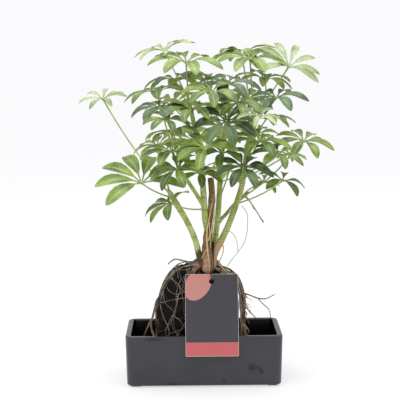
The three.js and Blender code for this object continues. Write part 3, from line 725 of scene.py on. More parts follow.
def catmull_rom(points: Sequence[Vector], t: float) -> Vector:
    """Finds a point of a centripetal curve through points.

    Args:
        points: Two or more points.
        t: From 0 at the first point to 1 at the last.

    Returns:
        The curve's point.
    """
    last = len(points) - 1
    whole = t * last
    k = min(int(whole), last - 1)
    share = whole - k
    b, c = points[k], points[k + 1]
    a = points[k - 1] if k else b * 2 - c
    d = points[k + 2] if k + 2 <= last else c * 2 - b
    steps = [math.sqrt((q - p).length) for p, q in ((a, b), (b, c), (c, d))]
    least = 1e-4  # a shorter step is taken as none
    middle = steps[1] if steps[1] > least else 1.0
    before = steps[0] if steps[0] > least else middle
    after = steps[2] if steps[2] > least else middle
    leave = ((b - a) / before - (c - a) / (before + middle) + (c - b) / middle) * middle
    reach = ((c - b) / middle - (d - b) / (middle + after) + (d - c) / after) * middle
    cubic = (b - c) * 2 + leave + reach
    square = (c - b) * 3 - leave * 2 - reach
    return b + leave * share + square * share**2 + cubic * share**3


def sampled(rows: Sequence[Row], count: int) -> list[Place]:
    """Spaces places evenly along a smooth route.

    Args:
        rows: The route's [x, y, z, radius] rows.
        count: How many steps.

    Returns:
        One place more than there are steps.
    """
    points = [Vector(row[:3]) for row in rows]
    last = len(rows) - 1
    places = []
    for i in range(count + 1):
        t = i / count
        k = min(int(t * last), last - 1)
        share = t * last - k
        radius = rows[k][3] * (1 - share) + rows[k + 1][3] * share
        places.append(Place(catmull_rom(points, t), radius))
    return places


def frames(places: Sequence[Place]) -> list[Matrix]:
    """Turns places to matrices that carry a unit circle in X and Y to a ring round each.

    Args:
        places: The places of a tube.

    Returns:
        One matrix for each place, in millimetres.
    """
    across = Vector((1, 0.13, 0.07))  # a way that no tube starts along
    made = []
    for k, (at, radius) in enumerate(places):
        before = places[max(k - 1, 0)].at
        after = places[min(k + 1, len(places) - 1)].at
        along = (after - before).normalized()
        across = (across - along * along.dot(across)).normalized()
        up = along.cross(across)
        matrix = Matrix((across * radius, up * radius, along * radius)).transposed().to_4x4()
        matrix.translation = at
        made.append(matrix)
    return made


def only(kind: type, found: Iterable[object]) -> list:
    """Picks the verts, edges or faces out of what an operator made.

    Args:
        kind: Which of them.
        found: What it made.

    Returns:
        Those of that kind, in their order.
    """
    return [one for one in found if isinstance(one, kind)]


def grow_tube(bm: BMesh, places: Sequence[Place], sides: int, material: int = 0) -> None:
    """Extrudes a ring along places into a closed tube with a UV map round and along it.

    Args:
        bm: The mesh to add the tube to.
        places: Where its rings go, in millimetres.
        sides: Its number of sides.
        material: The slot of its faces.
    """
    uv = bm.loops.layers.uv.verify()
    scale = Matrix.Scale(MM, 4)
    rings = [scale @ matrix for matrix in frames(places)]
    first = bmesh.ops.create_circle(bm, cap_ends=True, segments=sides, radius=1, matrix=rings[0])
    ring = first["verts"]
    faces = list(ring[0].link_faces)
    bmesh.ops.reverse_faces(bm, faces=faces)
    edges = list(ring[0].link_faces[0].edges)
    gone = 0.0
    for k in range(1, len(rings)):
        step = (places[k].at - places[k - 1].at).length
        grown = bmesh.ops.extrude_edge_only(bm, edges=edges)["geom"]
        verts = only(BMVert, grown)
        bmesh.ops.transform(bm, matrix=rings[k] @ rings[k - 1].inverted(), verts=verts)
        fresh = set(verts)
        edges = [e for e in only(BMEdge, grown) if fresh.issuperset(e.verts)]
        walls = only(BMFace, grown)
        for i, wall in enumerate(walls):
            for loop in wall.loops:
                turned = (i + (loop.vert not in wall.loops[0].edge.verts)) / sides
                loop[uv].uv = (turned * LAY, gone + (step if loop.vert in fresh else 0.0))
        faces += walls
        gone += step
    faces += bmesh.ops.edgeloop_fill(bm, edges=edges)["faces"]
    for face in faces:
        face.material_index = material
        face.smooth = True


# ---------------------------------------------------------------------------------------------
# Pieces
# ---------------------------------------------------------------------------------------------
def as_object(bm: BMesh, name: str, finishes: Sequence[Finish]) -> Object:
    """Makes a mesh an object of the scene.

    Args:
        bm: The mesh, in metres. It is freed.
        name: The object's name.
        finishes: The materials of its slots.

    Returns:
        The object, at the origin.
    """
    mesh = bpy.data.meshes.new(name)
    bm.to_mesh(mesh)
    bm.free()
    for finish in finishes:
        mesh.materials.append(finish.material())
    made = bpy.data.objects.new(name, mesh)
    bpy.context.scene.collection.objects.link(made)
    return made


def settle(
    bm: BMesh,
    name: str,
    finishes: Sequence[Finish],
    nodes: Sequence[str] = (),
) -> None:
    """Makes a finished piece of a mesh, and has it ride on the plant.

    Args:
        bm: The mesh, in metres. It is freed.
        name: The piece's name.
        finishes: The materials of its slots.
        nodes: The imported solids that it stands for.
    """
    piece = as_object(bm, name, finishes)
    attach(piece, "root")
    if nodes:
        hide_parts(*nodes)
    LOG.info("%s: %d faces", name, len(piece.data.polygons))


def round_edges(bm: BMesh, edges: Iterable[BMEdge], radius: float, segments: int) -> None:
    """Rounds edges.

    Args:
        bm: The mesh.
        edges: The edges.
        radius: How far the rounding reaches from each, in millimetres.
        segments: How many flats make it up.
    """
    bmesh.ops.bevel(
        bm, geom=list(edges), offset=radius * MM, segments=segments, affect="EDGES", profile=0.5,
        material=-1, offset_type="OFFSET",
    )


def add_ball(bm: BMesh, place: Matrix, detail: int, material: int = 0) -> None:
    """Adds a smooth ball.

    Args:
        bm: The mesh.
        place: What carries a ball of radius 1 to its size and place, in metres.
        detail: How often its faces are split.
        material: The slot of its faces.
    """
    ball = bmesh.ops.create_icosphere(bm, subdivisions=detail, radius=1, matrix=place)
    for face in {f for v in ball["verts"] for f in v.link_faces}:
        face.smooth = True
        face.material_index = material


@dataclass
class Tray:
    """The rectangular ceramic tray on four short feet."""

    length: float = 200.0
    depth: float = 110.0
    height: float = 66.0
    wall: float = 7.0
    corner: float = 11.0
    draft: float = 1.6  # how much each side slopes in towards its foot
    rim: float = 1.8
    floor: float = 9.0
    foot: tuple[float, float, float] = (12.0, 14.0, 2.0)
    foot_in: tuple[float, float] = (5.5, 6.0)  # from the tray's lower edge, along X and Y
    foot_root: float = 1.0  # how far a foot's block runs up into the tray
    foot_edge: float = 0.5
    # Glaze inside the well: wet, so shinier, and painted near black, which is partly its wetness
    # and partly painted shade deep in the well.
    wet_shaded_well: GlazedStoneware = GlazedStoneware(
        "wet_and_shaded_glaze", 0.22, 1.3, light="#0c0c0d", dark="#080809", coat=0.0
    )
    glaze: GlazedStoneware = GlazedStoneware(
        "anthracite_glaze", 0.28, 1.42, light="#343439", dark="#2d2d32", coat=0.15,
        splashes=(
            Splash(-63.0, -55.0, 63.0, 9.5, 2.4),
            Splash(-38.0, -54.0, 4.5, 6.0, 2.4),
            Splash(25.0, -54.0, 8.0, 2.6, 1.8),
            Splash(62.0, -54.5, 25.0, 6.5, 5.0),
            Splash(72.0, -54.5, 21.0, 3.0, 3.5),
        ),
    )

    def build(self) -> None:
        """Casts the tray from a block: rounds its corners, sinks its well and softens its rim."""
        bm = bmesh.new()
        low = self.foot[2]
        size = (self.length * MM, self.depth * MM, (self.height - low) * MM)
        place = Matrix.Translation((0, 0, (self.height + low) / 2 * MM))
        bmesh.ops.create_cube(bm, size=1, matrix=place @ Matrix.Diagonal((*size, 1)))
        base = [v for v in bm.verts if v.co.z < self.height / 2 * MM]
        taper = [1 - 2 * self.draft * MM / side for side in size[:2]]
        bmesh.ops.scale(bm, vec=(*taper, 1), verts=base)
        upright = [e for e in bm.edges if abs(e.verts[0].co.z - e.verts[1].co.z) > 0.01]
        round_edges(bm, upright, self.corner, 10)
        top = max(bm.faces, key=lambda f: f.calc_center_median().z)
        under = min(bm.faces, key=lambda f: f.calc_center_median().z)
        outer = list(top.edges)
        bmesh.ops.inset_region(bm, faces=[top], thickness=self.wall * MM, use_even_offset=True)
        inner = list(top.edges)
        sunk = bmesh.ops.extrude_face_region(bm, geom=[top])["geom"]
        well = only(BMVert, sunk)
        bmesh.ops.delete(bm, geom=[top], context="FACES_ONLY")
        bmesh.ops.translate(bm, vec=(0, 0, (self.floor - self.height) * MM), verts=well)
        half = (self.length / 2 - self.wall, self.depth / 2 - self.wall)
        narrowed = [1 - self.draft / side for side in half]
        bmesh.ops.scale(bm, vec=(*narrowed, 1), verts=well)
        floor = next(f for f in only(BMFace, sunk) if len(f.verts) > 4)
        round_edges(bm, outer + inner + list(floor.edges) + list(under.edges), self.rim, 4)
        self.add_feet(bm)
        for face in bm.faces:
            face.smooth = True
            x, y, z = face.calc_center_median() / MM
            # Faces inside the well take the near-black glaze, which is partly painted shade.
            wet_shaded_well = abs(x) < half[0] and abs(y) < half[1] and z > self.floor - 1
            face.material_index = int(wet_shaded_well)
        bmesh.ops.recalc_face_normals(bm, faces=bm.faces[:])
        settle(bm, "glazed_tray", [self.glaze, self.wet_shaded_well], ["tray"])

    def add_feet(self, bm: BMesh) -> None:
        """Stands the tray on four rounded pads.

        Args:
            bm: The tray's mesh.
        """
        wide, deep, high = self.foot
        tall = high + self.foot_root
        for sx in (-1, 1):
            for sy in (-1, 1):
                x = sx * (self.length / 2 - self.draft - self.foot_in[0] - wide / 2)
                y = sy * (self.depth / 2 - self.draft - self.foot_in[1] - deep / 2)
                place = Matrix.Translation((x * MM, y * MM, tall / 2 * MM))
                size = Matrix.Diagonal((wide * MM, deep * MM, tall * MM, 1))
                pad = bmesh.ops.create_cube(bm, size=1, matrix=place @ size)["verts"]
                round_edges(bm, {e for v in pad for e in v.link_edges}, self.foot_edge, 2)


@dataclass
class Stone:
    """The block of lava stone, a squarish egg cut flat where it stands."""

    middle: tuple[float, float, float] = (-7.5, 1.0, 59.3)
    half: tuple[float, float, float] = (53.5, 36.0, 90.0)
    power: float = 3.0  # how square the egg is, where 2 is round
    lump: float = 0.012  # how high its lumps stand, as a share of its size
    foot: float = 9.3
    crag: float = 2.2  # how deep the rough surface goes
    rough_size: float = 9.0
    pit_size: float = 6.0

    def reach(self, way: Vector) -> float:
        """Finds how far the surface is from the middle.

        Args:
            way: A direction of length 1.

        Returns:
            The distance in millimetres.
        """
        x, y, z = way
        total = sum(abs(w / h) ** self.power for w, h in zip(way, self.half))
        lumps = math.sin(5.1 * x + 1.3) * math.sin(6.3 * y + 0.4) + math.sin(7.7 * z + 2.1 * x)
        return total ** (-1 / self.power) * (1 + self.lump * lumps)

    def spot(self, way: Vector, raised: float = 0.0) -> Vector:
        """Finds the spot that way from the middle on the surface, or raised off it."""
        return Vector(self.middle) + way * (self.reach(way) + raised)

    def way(self, turn: float, up: float) -> Vector:
        """Finds the way from the middle to a spot by its angles round and up, in radians."""
        a, b, c = self.half
        level = math.cos(up)
        return Vector(
            (level * math.cos(turn) * a, level * math.sin(turn) * b, math.sin(up) * c)
        ).normalized()

    def front(self, x: float, z: float) -> float:
        """Finds how far forward the stone's front comes at x and z, in millimetres."""
        cx, cy, cz = self.middle
        a, b, c = self.half
        left = 1 - abs((x - cx) / a) ** self.power - abs((z - cz) / c) ** self.power
        return cy - b * max(left, 0.02) ** (1 / self.power)

    def seat(self, point: Vector, raised: float) -> Vector:
        """Moves a point to stand just off the stone's surface.

        Args:
            point: Where it is.
            raised: How far off the surface it goes, in millimetres.

        Returns:
            Its seat.
        """
        return self.spot((point - Vector(self.middle)).normalized(), raised)

    def build(self) -> None:
        """Shapes the stone from a fine sphere and cuts its foot flat."""
        bm = bmesh.new()
        bmesh.ops.create_icosphere(bm, subdivisions=6, radius=1)
        # The rough surface only sinks below the smooth one, so that it stays clear of the roots.
        for vert in bm.verts:
            way = vert.co.normalized()
            spot = self.spot(way)
            rough = noise.fractal(spot / self.rough_size, 0.9, 2.1, 4) - 0.5
            pit = noise.voronoi(spot / self.pit_size)[0][0]
            sink = min(0.0, rough * 1.1 + (pit - 0.45) * 1.4) * self.crag
            vert.co = (spot + way * sink) * MM
        geom = bm.verts[:] + bm.edges[:] + bm.faces[:]
        cut = bmesh.ops.bisect_plane(
            bm, geom=geom, plane_co=(0, 0, self.foot * MM), plane_no=(0, 0, -1), clear_outer=True
        )["geom_cut"]
        bmesh.ops.edgeloop_fill(bm, edges=only(BMEdge, cut))
        for face in bm.faces:
            face.smooth = True
        settle(bm, "lava_block", [LAVA], ["lava_stone"])


@dataclass
class Roots:
    """The trunk, the woody roots that grip the stone, and the net of fine ones."""

    stone: Stone
    trunk: tuple[Row, ...] = (
        (7, -10, 130, 10), (5, -11, 146, 8.6), (4.6, -10, 160, 7.6), (5.6, -8, 183, 6),
        (9.9, -6, 213, 4.8), (11.8, -5, 242, 4.3), (10.1, -5, 262, 3.9),
    )
    # Each woody root: whether it lies on the stone, then its rows.
    woody: tuple[tuple[bool, tuple[Row, ...]], ...] = (
        (False, ((4, -10, 150, 3.4), (-12, -11, 151.5, 2.2), (-25, -9, 155, 1.5),
                 (-37, -8, 157, 1.2), (-46, -8, 150.5, 0.8))),
        (True, ((2, -12, 148, 4.4), (-10, -20, 146, 3.6), (-16, -29, 134, 2.6),
                (-17, -34, 116, 2), (-12, -36, 98, 1.5))),
        (True, ((-8, -14, 150, 2.2), (-22, -14, 149, 1.5), (-35, -15, 142, 1.1),
                (-47, -16, 128, 0.9), (-55, -14, 108, 0.9), (-59, -12, 88, 0.8))),
        (False, ((-54, -15.5, 115, 0.9), (-61, -17.5, 103, 1.8), (-64.5, -19, 88, 1.6),
                 (-68, -20, 76, 1.3), (-66, -22, 64, 1.4), (-61, -25, 50, 1.6),
                 (-58, -27, 34, 1.2), (-60, -28, 20, 1))),
        (False, ((-64.5, -19, 86, 1.3), (-71, -21, 74, 0.9), (-77, -24, 60, 0.8),
                 (-82, -26, 44, 0.7), (-84, -26, 26, 0.7))),
        (False, ((8, -12, 149, 4.4), (22, -11, 144, 2.6), (34, -10, 140, 2), (43, -9, 134, 1.8),
                 (49, -9, 116, 1.8), (50.5, -10, 92, 1.8), (50, -12, 68, 1.7),
                 (49, -14, 44, 1.5), (47, -16, 24, 1.2))),
        (False, ((10, -6, 150, 3.4), (24, 0, 146, 2.1), (38, 2, 139, 1.7), (49, 3, 124, 1.7),
                 (53.5, 2, 98, 1.7), (53, 0, 72, 1.6), (52, -2, 46, 1.4), (50, -3, 26, 1.1))),
        (False, ((12, -14, 148, 3.2), (24, -19, 142, 2), (36, -21, 136, 1.6),
                 (45, -22, 121, 1.6), (47.5, -23, 98, 1.6), (48, -24, 72, 1.5),
                 (47, -26, 46, 1.3), (48, -28, 28, 1.1))),
        (False, ((46, -22, 116, 1.4), (57, -22, 113, 1.1), (70, -22, 108, 1),
                 (80, -20, 107, 0.8), (92, -18, 112, 0.7))),
        (False, ((70, -22, 108, 0.9), (76, -23, 101, 0.8), (84, -24, 93, 0.7),
                 (86, -24, 82, 0.6))),
        (False, ((47, -23, 104, 1.2), (54, -24, 97, 1), (62, -25, 88, 0.8), (67, -26, 83, 0.7))),
        (False, ((50, -13, 68, 1.4), (56, -18, 54, 1.1), (62, -22, 40, 0.9), (68, -26, 26, 0.8))),
        (False, ((53, 0, 68, 1.4), (60, 5, 46, 1.1), (67, 9, 26, 0.8))),
        (True, ((5, -8, 150, 4.2), (-5, 10, 148, 2.6), (-12, 24, 138, 2), (-14, 32, 118, 1.7),
                (-12, 36, 92, 1.5), (-8, 37, 62, 1.3), (-8, 37, 34, 1))),
        (True, ((8, -8, 150, 4), (17, 11, 143, 2.4), (24, 24, 130, 1.8), (26, 32, 104, 1.5),
                (22, 36, 72, 1.3), (20, 36, 40, 1))),
    )
    # Fine roots on the stone's front, as (x, z) points.
    net: tuple[tuple[tuple[float, float], ...], ...] = (
        ((-12, 146), (-22, 144), (-36, 142), (-44, 134)),
        ((-22, 144), (-17, 136), (-14, 126)),
        ((-44, 134), (-36, 131), (-30, 124), (-24, 118), (-16, 114)),
        ((-48, 126), (-44, 119), (-34, 115), (-24, 118)),
        ((-50, 122), (-52, 112), (-55, 101), (-46, 106), (-34, 109), (-16, 112)),
        ((-32, 115), (-34, 102), (-39, 88), (-46, 74), (-49, 60)),
        ((-39, 88), (-30, 82), (-26, 74), (-34, 68), (-46, 62), (-44, 48), (-46, 34)),
        ((-22, 82), (-27, 73), (-34, 62), (-38, 50), (-34, 38)),
        ((-55, 101), (-50, 84), (-44, 70), (-47, 50)),
        ((-13, 104), (4, 112), (10, 96), (6, 78), (12, 56), (8, 36)),
        ((-13, 100), (-8, 84), (-2, 66), (-8, 46)),
        ((34, 132), (26, 112), (33, 92), (28, 70), (32, 50)),
    )
    net_radius: float = 0.6
    net_share: float = 0.72  # of the solid's radius
    bundled: tuple[int, ...] = (3, 4, 5, 6, 7, 11, 12)  # woody roots that are bundles of thin ones
    bundle_radius: float = 1.5  # of the thickest bundle
    twist: float = 0.42  # radians that a bundle winds from ring to ring
    strand_out: float = 0.62  # of the bundle's radius, from its middle to a strand's
    strand_share: float = 0.52  # of the bundle's radius
    strand_least: float = 0.5
    # Woody roots that are slender, by number, and the material slot of each.
    slender: dict[int, int] = field(
        default_factory=lambda: {0: FINE, 2: FINE, 8: WOODY, 9: WOODY, 10: WOODY}
    )
    slender_share: float = 0.85  # of the solid's radius
    step: float = 12.0  # between two places of a solid's root that lies on the stone
    finer: int = 3  # smooth steps between two of those places
    lift: float = 0.5  # from the stone to the root on it
    # Roots that wander down the stone's sides and back: how many, the degrees round it of the
    # first and the last, the degrees up it of their tops and feet, their steps, and their radius.
    wanderers: int = 6
    wander_round: tuple[float, float] = (-8.0, 192.0)
    wander_up: tuple[float, float] = (62.0, -24.0)
    wander_steps: int = 13
    wander_radius: float = 0.7
    # Hair roots: how many, how many of them start on the stone's front, the degrees round it
    # that those start at and the others do, and the degrees up it.
    hairs: int = 110
    front_hairs: int = 60
    hair_front: tuple[float, float] = (188, 300)
    hair_back: tuple[float, float] = (-60, 190)
    hair_up: tuple[float, float] = (-12, 74)
    hair_radius: float = 0.38
    hair_lift: float = 0.1
    # The curled ones beside the right bundle, which turns in over the stone above its shoulder.
    tuft: int = 64
    tuft_radius: float = 0.5
    tuft_x: float = 50.0
    tuft_y: tuple[float, float] = (-24, 2)
    tuft_z: tuple[float, float] = (40, 146)
    shoulder: float = 112.0
    HAIRS = (FINE_ROOT, ROOT_BARK, AERIAL_ROOT)

    def seated(self, rows: Sequence[Row]) -> list[Place]:
        """Lays a route on the stone.

        Args:
            rows: Its rows.

        Returns:
            The places of the root.
        """
        rough = sampled(rows, 24)
        length = sum((b.at - a.at).length for a, b in zip(rough, rough[1:]))
        places = sampled(rows, max(3, math.floor(length / self.step + 0.5)))
        knots = [
            (*self.stone.seat(at, radius + self.lift), radius) for at, radius in places
        ]
        return sampled(knots, self.finer * (len(knots) - 1))

    def wanderer(self, k: int) -> list[Place]:
        """Lays one of the roots that run down the stone's sides and back by rule.

        It leaves the foot of the trunk and swings from side to side as it goes down.

        Args:
            k: Its number.

        Returns:
            The places of the root.
        """
        first, last = self.wander_round
        top, low = self.wander_up
        start = first + (last - first) * k / (self.wanderers - 1)
        foot = (Vector(self.trunk[1][:3]) - Vector(self.stone.middle)).normalized()
        knots = []
        for i in range(self.wander_steps + 1):
            f = (i / self.wander_steps) ** 1.4
            swing = 11 * math.sin(2.4 * f * math.pi + k * 2.4) + 7 * math.sin(9 * f + k)
            way = self.stone.way(math.radians(start + swing), math.radians(top + (low - top) * f))
            way = way.lerp(foot, max(0.0, 1 - 2.4 * f)).normalized()
            width = self.wander_radius * (1.35 - 0.6 * f)
            knots.append((*self.stone.spot(way, width + self.lift), width))
        return sampled(knots, self.finer * self.wander_steps)

    def strands(self, bm: BMesh, places: Sequence[Place], count: int, seed: int) -> None:
        """Winds thin roots round each other along a route, within its own thickness.

        Args:
            bm: The mesh to add them to.
            places: The route's places.
            count: How many strands.
            seed: What sets this route's strands apart.
        """
        slim = [Place(at, min(radius, self.bundle_radius)) for at, radius in places]
        rings = frames(slim)
        for k in range(count):
            wound = []
            for i, (matrix, place) in enumerate(zip(rings, slim)):
                turn = 2 * math.pi * k / count + self.twist * i + seed
                drift = 1 + 0.5 * noise.noise(place.at / 9 + Vector((seed, k, 0)))
                out = Vector((math.cos(turn), math.sin(turn), 0)) * self.strand_out * drift
                thick = max(place.radius * self.strand_share, self.strand_least)
                wound.append(Place(matrix @ out, thick))
            slot = (WOODY, FINE)[(k + seed) % 2]
            grow_tube(bm, self.gnarl(wound, 0.35, seed + k), 6, slot)

    def gnarl(self, places: Sequence[Place], share: float, seed: float) -> list[Place]:
        """Thickens and thins a route by noise.

        Args:
            places: Its places.
            share: The greatest change, as a share of the radius.
            seed: What sets this route's noise apart.

        Returns:
            The changed places.
        """
        return [
            Place(at, radius * (1 + share * noise.noise(at / 7 + Vector((seed, 0, 0)))))
            for at, radius in places
        ]

    def build(self) -> None:
        """Grows the trunk, the woody roots, the net and the hair roots."""
        bm = bmesh.new()
        grow_tube(bm, self.gnarl(sampled(self.trunk, 60), 0.2, 1), 18, TRUNK)
        for k, (lies, rows) in enumerate(self.woody):
            places = self.seated(rows) if lies else sampled(rows, 5 * len(rows))
            if k in self.bundled:
                self.strands(bm, places, 3, k)
            elif k in self.slender:
                thin = [Place(at, radius * self.slender_share) for at, radius in places]
                grow_tube(bm, self.gnarl(thin, 0.3, k + 2), 8, self.slender[k])
            else:
                grow_tube(bm, self.gnarl(places, 0.28, k + 2), 10, WOODY)
        for k, line in enumerate(self.net):
            rows = [(x, self.stone.front(x, z), z, self.net_radius) for x, z in line]
            thin = [Place(at, radius * self.net_share) for at, radius in self.seated(rows)]
            grow_tube(bm, self.gnarl(thin, 0.3, k + 30), 6, FINE)
        for k in range(self.wanderers):
            grow_tube(bm, self.gnarl(self.wanderer(k), 0.3, k + 50), 6, FINE)
        finishes = [TRUNK_BARK, ROOT_BARK, FINE_ROOT]
        settle(bm, "gripping_roots", finishes, ["trunk_and_roots"])
        self.build_hairs()

    def build_hairs(self) -> None:
        """Adds the hair-fine roots, as thick as the render needs to show them."""
        chance = random.Random(5)
        bm = bmesh.new()
        for k in range(self.hairs):
            side = self.hair_front if k < self.front_hairs else self.hair_back
            turn = math.radians(chance.uniform(*side))
            up = math.radians(chance.uniform(*self.hair_up))
            swing = chance.uniform(-0.5, 0.5)
            fall = math.radians(chance.uniform(5, 16))
            knots = []
            for i in range(chance.randint(4, 8)):
                width = self.hair_radius - 0.02 * i
                at = self.stone.spot(self.stone.way(turn, up), width + self.hair_lift)
                knots.append((*at, width))
                up -= fall * chance.uniform(0.2, 1)
                swing += chance.uniform(-0.35, 0.35)
                turn += swing * fall * 1.8
            if min(knot[2] for knot in knots) > self.stone.foot + 2:
                grow_tube(bm, sampled(knots, self.finer * (len(knots) - 1)), 4)
        self.add_tuft(bm, chance)
        settle(bm, "hair_roots", self.HAIRS)

    def add_tuft(self, bm: BMesh, chance: random.Random) -> None:
        """Adds the curled fine roots that stand off the bundle at the right and over the top.

        Args:
            bm: The hair roots' mesh.
            chance: The seeded source of numbers.
        """
        spread = ((0.2, 1), (-0.5, 0.3), (-0.6, 0.5))
        for _ in range(self.tuft):
            z = chance.uniform(*self.tuft_z)
            x = self.tuft_x - max(0.0, z - self.shoulder) * 0.9
            at = Vector((x, chance.uniform(*self.tuft_y), z))
            way = Vector([chance.uniform(low, high) for low, high in spread])
            knots = []
            for i in range(chance.randint(4, 6)):
                knots.append((*at, self.tuft_radius - 0.04 * i))
                at = at + way.normalized() * chance.uniform(2.0, 4.5)
                way += Vector((chance.uniform(-0.7, 0.35), chance.uniform(-0.4, 0.4), -0.5))
            places = sampled(knots, self.finer * (len(knots) - 1))
            grow_tube(bm, places, 4, chance.choice(range(len(self.HAIRS))))


@dataclass
class Stems:
    """The green stems, their bare stalks and the pale roots that hang from them."""

    rows: dict[str, tuple[Row, ...]] = field(default_factory=lambda: {
        "left": ((0, -12, 150, 4.2), (-4.2, -13, 159, 4.2), (-10.5, -14, 184, 3.8),
                 (-20.6, -16, 207, 3.7), (-33, -18, 229, 4), (-40, -19, 241, 3.8),
                 (-44, -20, 249, 2)),
        "centre": ((6, -7, 190, 3.4), (3, -9, 208, 4.2), (1.6, -9, 228, 4.1),
                   (0.3, -6, 250, 3.9), (-2.1, -4, 279, 3.6), (-7, 0, 310, 3.2),
                   (-13, 4, 342, 2.9), (-17.4, 6, 362, 2.5), (-19, 7, 369, 1.3)),
        "branch": ((2, -9, 224, 2.6), (-8.8, -17, 243, 2.5), (-21, -26, 263, 2.4),
                   (-31, -34, 279, 2.3), (-34, -37, 285, 1.2)),
        "back": ((6, -5, 160, 3.4), (9.5, -0.5, 169, 3.8), (15.7, 7, 182, 3.9),
                 (19.8, 10, 214, 3.8), (22.7, 14, 256, 3.6), (24.3, 18, 283, 3.3),
                 (30, 23, 315, 3), (36, 27, 343, 2.5), (38, 28, 350, 1.3)),
        "right": ((8, -8, 140, 6), (10, -10, 147, 6.4), (14, -12, 165, 5.4),
                  (21.7, -11, 179, 4.7), (29.5, -9, 194, 4.1), (37.4, -7, 213, 3.9),
                  (44, -5, 231, 3.8), (49, -3, 246, 3.7), (53, 0, 266, 3.5),
                  (57.4, 4, 297, 3.2), (63, 8, 328, 2.9), (67, 12, 346, 2.4),
                  (69, 13, 352, 1.3)),
        "side": ((18, 9, 196, 2.4), (23, 10, 205, 2.6), (31, 14, 213, 2.4), (39, 18, 222, 2.4),
                 (48, 21, 230, 2.4), (57, 23, 237, 2.2), (61, 24, 240, 1.2)),
    })
    bare_stalks: tuple[tuple[Row, ...], ...] = (
        ((55, 22, 235, 0.9), (62, 18, 228, 0.8), (68, 15, 218, 1.1)),
        ((56, 23, 236, 0.9), (65, 17, 224, 0.8), (75, 12, 208, 0.8), (79, 10, 202, 1.1)),
    )
    # Pale roots down the trunk's front: height, degrees round it and radius at each point.
    trunk_roots: tuple[tuple[tuple[float, float, float], ...], ...] = (
        ((232, -84, 1.1), (214, -104, 1.3), (196, -108, 1.4), (178, -92, 1.4), (160, -78, 1.5),
         (150, -76, 1.5), (143, -80, 1.3)),
        ((230, -52, 1), (212, -58, 1.2), (194, -64, 1.2), (182, -84, 1.2)),
    )
    # Finer ones that have no solid of their own.
    side_roots: tuple[tuple[tuple[float, float, float], ...], ...] = (
        ((171, -94, 0.9), (163, -128, 0.9), (155, -142, 0.8), (148, -118, 0.8), (143, -98, 0.7)),
        ((206, -96, 0.8), (196, -82, 0.8), (187, -66, 0.8), (172, -50, 0.7)),
    )
    pale_share: float = 0.66  # of the solid's radius
    loops: tuple[tuple[Row, ...], ...] = (
        ((50, -6, 226, 0.6), (56, -9, 218, 0.6), (57.5, -10, 206, 0.6), (56, -11, 190, 0.6),
         (52.5, -12, 178, 0.6), (44, -13, 166, 0.6), (36, -13, 156, 0.6), (28, -13, 144, 0.6)),
        ((34, -8, 194, 0.6), (40, -10, 188, 0.6), (44, -11, 178, 0.6), (44.5, -12.5, 167, 0.6)),
    )
    prop: tuple[Row, ...] = (
        (24, -12, 180, 1.4), (26, -16, 172, 1.3), (24, -19, 163, 1.2), (20, -21, 153, 1.2),
        (26, -21, 146, 1.1), (33, -20, 139, 1),
    )
    thread_share: float = 0.9  # of the solid's radius
    joint_every: float = 16.0  # between the scars of two old leaves
    joint_half: float = 1.1
    joint_swell: float = 0.07  # of the stem's radius
    between: float = 0.98  # a stem's radius between its scars, as a share of the solid's

    def point(self, name: str, z: float) -> Vector:
        """Finds the place on a stem's centre line at a height.

        Args:
            name: The stem's name.
            z: The height in millimetres.

        Returns:
            The point.
        """
        return min(sampled(self.rows[name], 200), key=lambda place: abs(place.at.z - z)).at

    def jointed(self, rows: Sequence[Row], seed: int) -> list[Place]:
        """Swells a stem a little at each old leaf's scar.

        Args:
            rows: The stem's rows.
            seed: What sets its scars apart from another stem's.

        Returns:
            The stem's places.
        """
        places = sampled(rows, 12 * len(rows))
        gone = seed * 3.0
        swollen = [places[0]]
        for before, place in zip(places, places[1:]):
            gone += (place.at - before.at).length
            off = gone % self.joint_every - self.joint_every / 2
            scar = math.exp(-((off / self.joint_half) ** 2))
            swollen.append(Place(place.at, place.radius * (self.between + self.joint_swell * scar)))
        return swollen

    def build(self, trunk: Sequence[Row]) -> None:
        """Grows the stems and the pale roots.

        Args:
            trunk: The trunk's rows, which the pale roots follow.
        """
        for seed, (name, rows) in enumerate(self.rows.items()):
            bm = bmesh.new()
            grow_tube(bm, self.jointed(rows, seed), 16)
            if name == "side":
                for stalk in self.bare_stalks:
                    grow_tube(bm, sampled(stalk, 12), 8)
            finish = {"right": BROWN_STEM, "side": SIDE_STEM}.get(name, GREEN_STEM)
            settle(bm, "green_stem_" + name, [finish], ["stem_" + name])
        core = sampled(trunk, 80)
        bm = bmesh.new()
        for run in self.trunk_roots + self.side_roots:
            beside = []
            for z, degrees, radius in run:
                near = min(core, key=lambda place: abs(place.at.z - z))
                out = near.radius + radius + 0.3
                turn = math.radians(degrees)
                beside.append(
                    (near.at.x + out * math.cos(turn), near.at.y + out * math.sin(turn), z,
                     radius * self.pale_share)
                )
            grow_tube(bm, sampled(beside, 36), 8)
        settle(bm, "pale_trunk_roots", [AERIAL_ROOT], ["aerial_roots"])
        bm = bmesh.new()
        for rows in self.loops:
            thin = [Place(at, radius * self.thread_share) for at, radius in sampled(rows, 40)]
            grow_tube(bm, thin, 6)
        settle(bm, "thread_roots", [THREAD_ROOT], ["hanging_roots"])
        bm = bmesh.new()
        thin = [Place(at, radius * self.pale_share) for at, radius in sampled(self.prop, 30)]
        grow_tube(bm, thin, 8)
        settle(bm, "propping_root", [AERIAL_ROOT], ["prop_root"])


# ---------------------------------------------------------------------------------------------
# Leaves
# ---------------------------------------------------------------------------------------------
@dataclass(frozen=True)
class Bend:
    """A quadratic curve from a root by a control point to a tip."""

    root: Vector
    control: Vector
    tip: Vector

    def at(self, t: float) -> Vector:
        """The point at t."""
        s = 1 - t
        return self.root * s * s + self.control * 2 * s * t + self.tip * t * t

    def along(self, t: float) -> Vector:
        """The direction at t."""
        return ((self.control - self.root) * (1 - t) + (self.tip - self.control) * t).normalized()


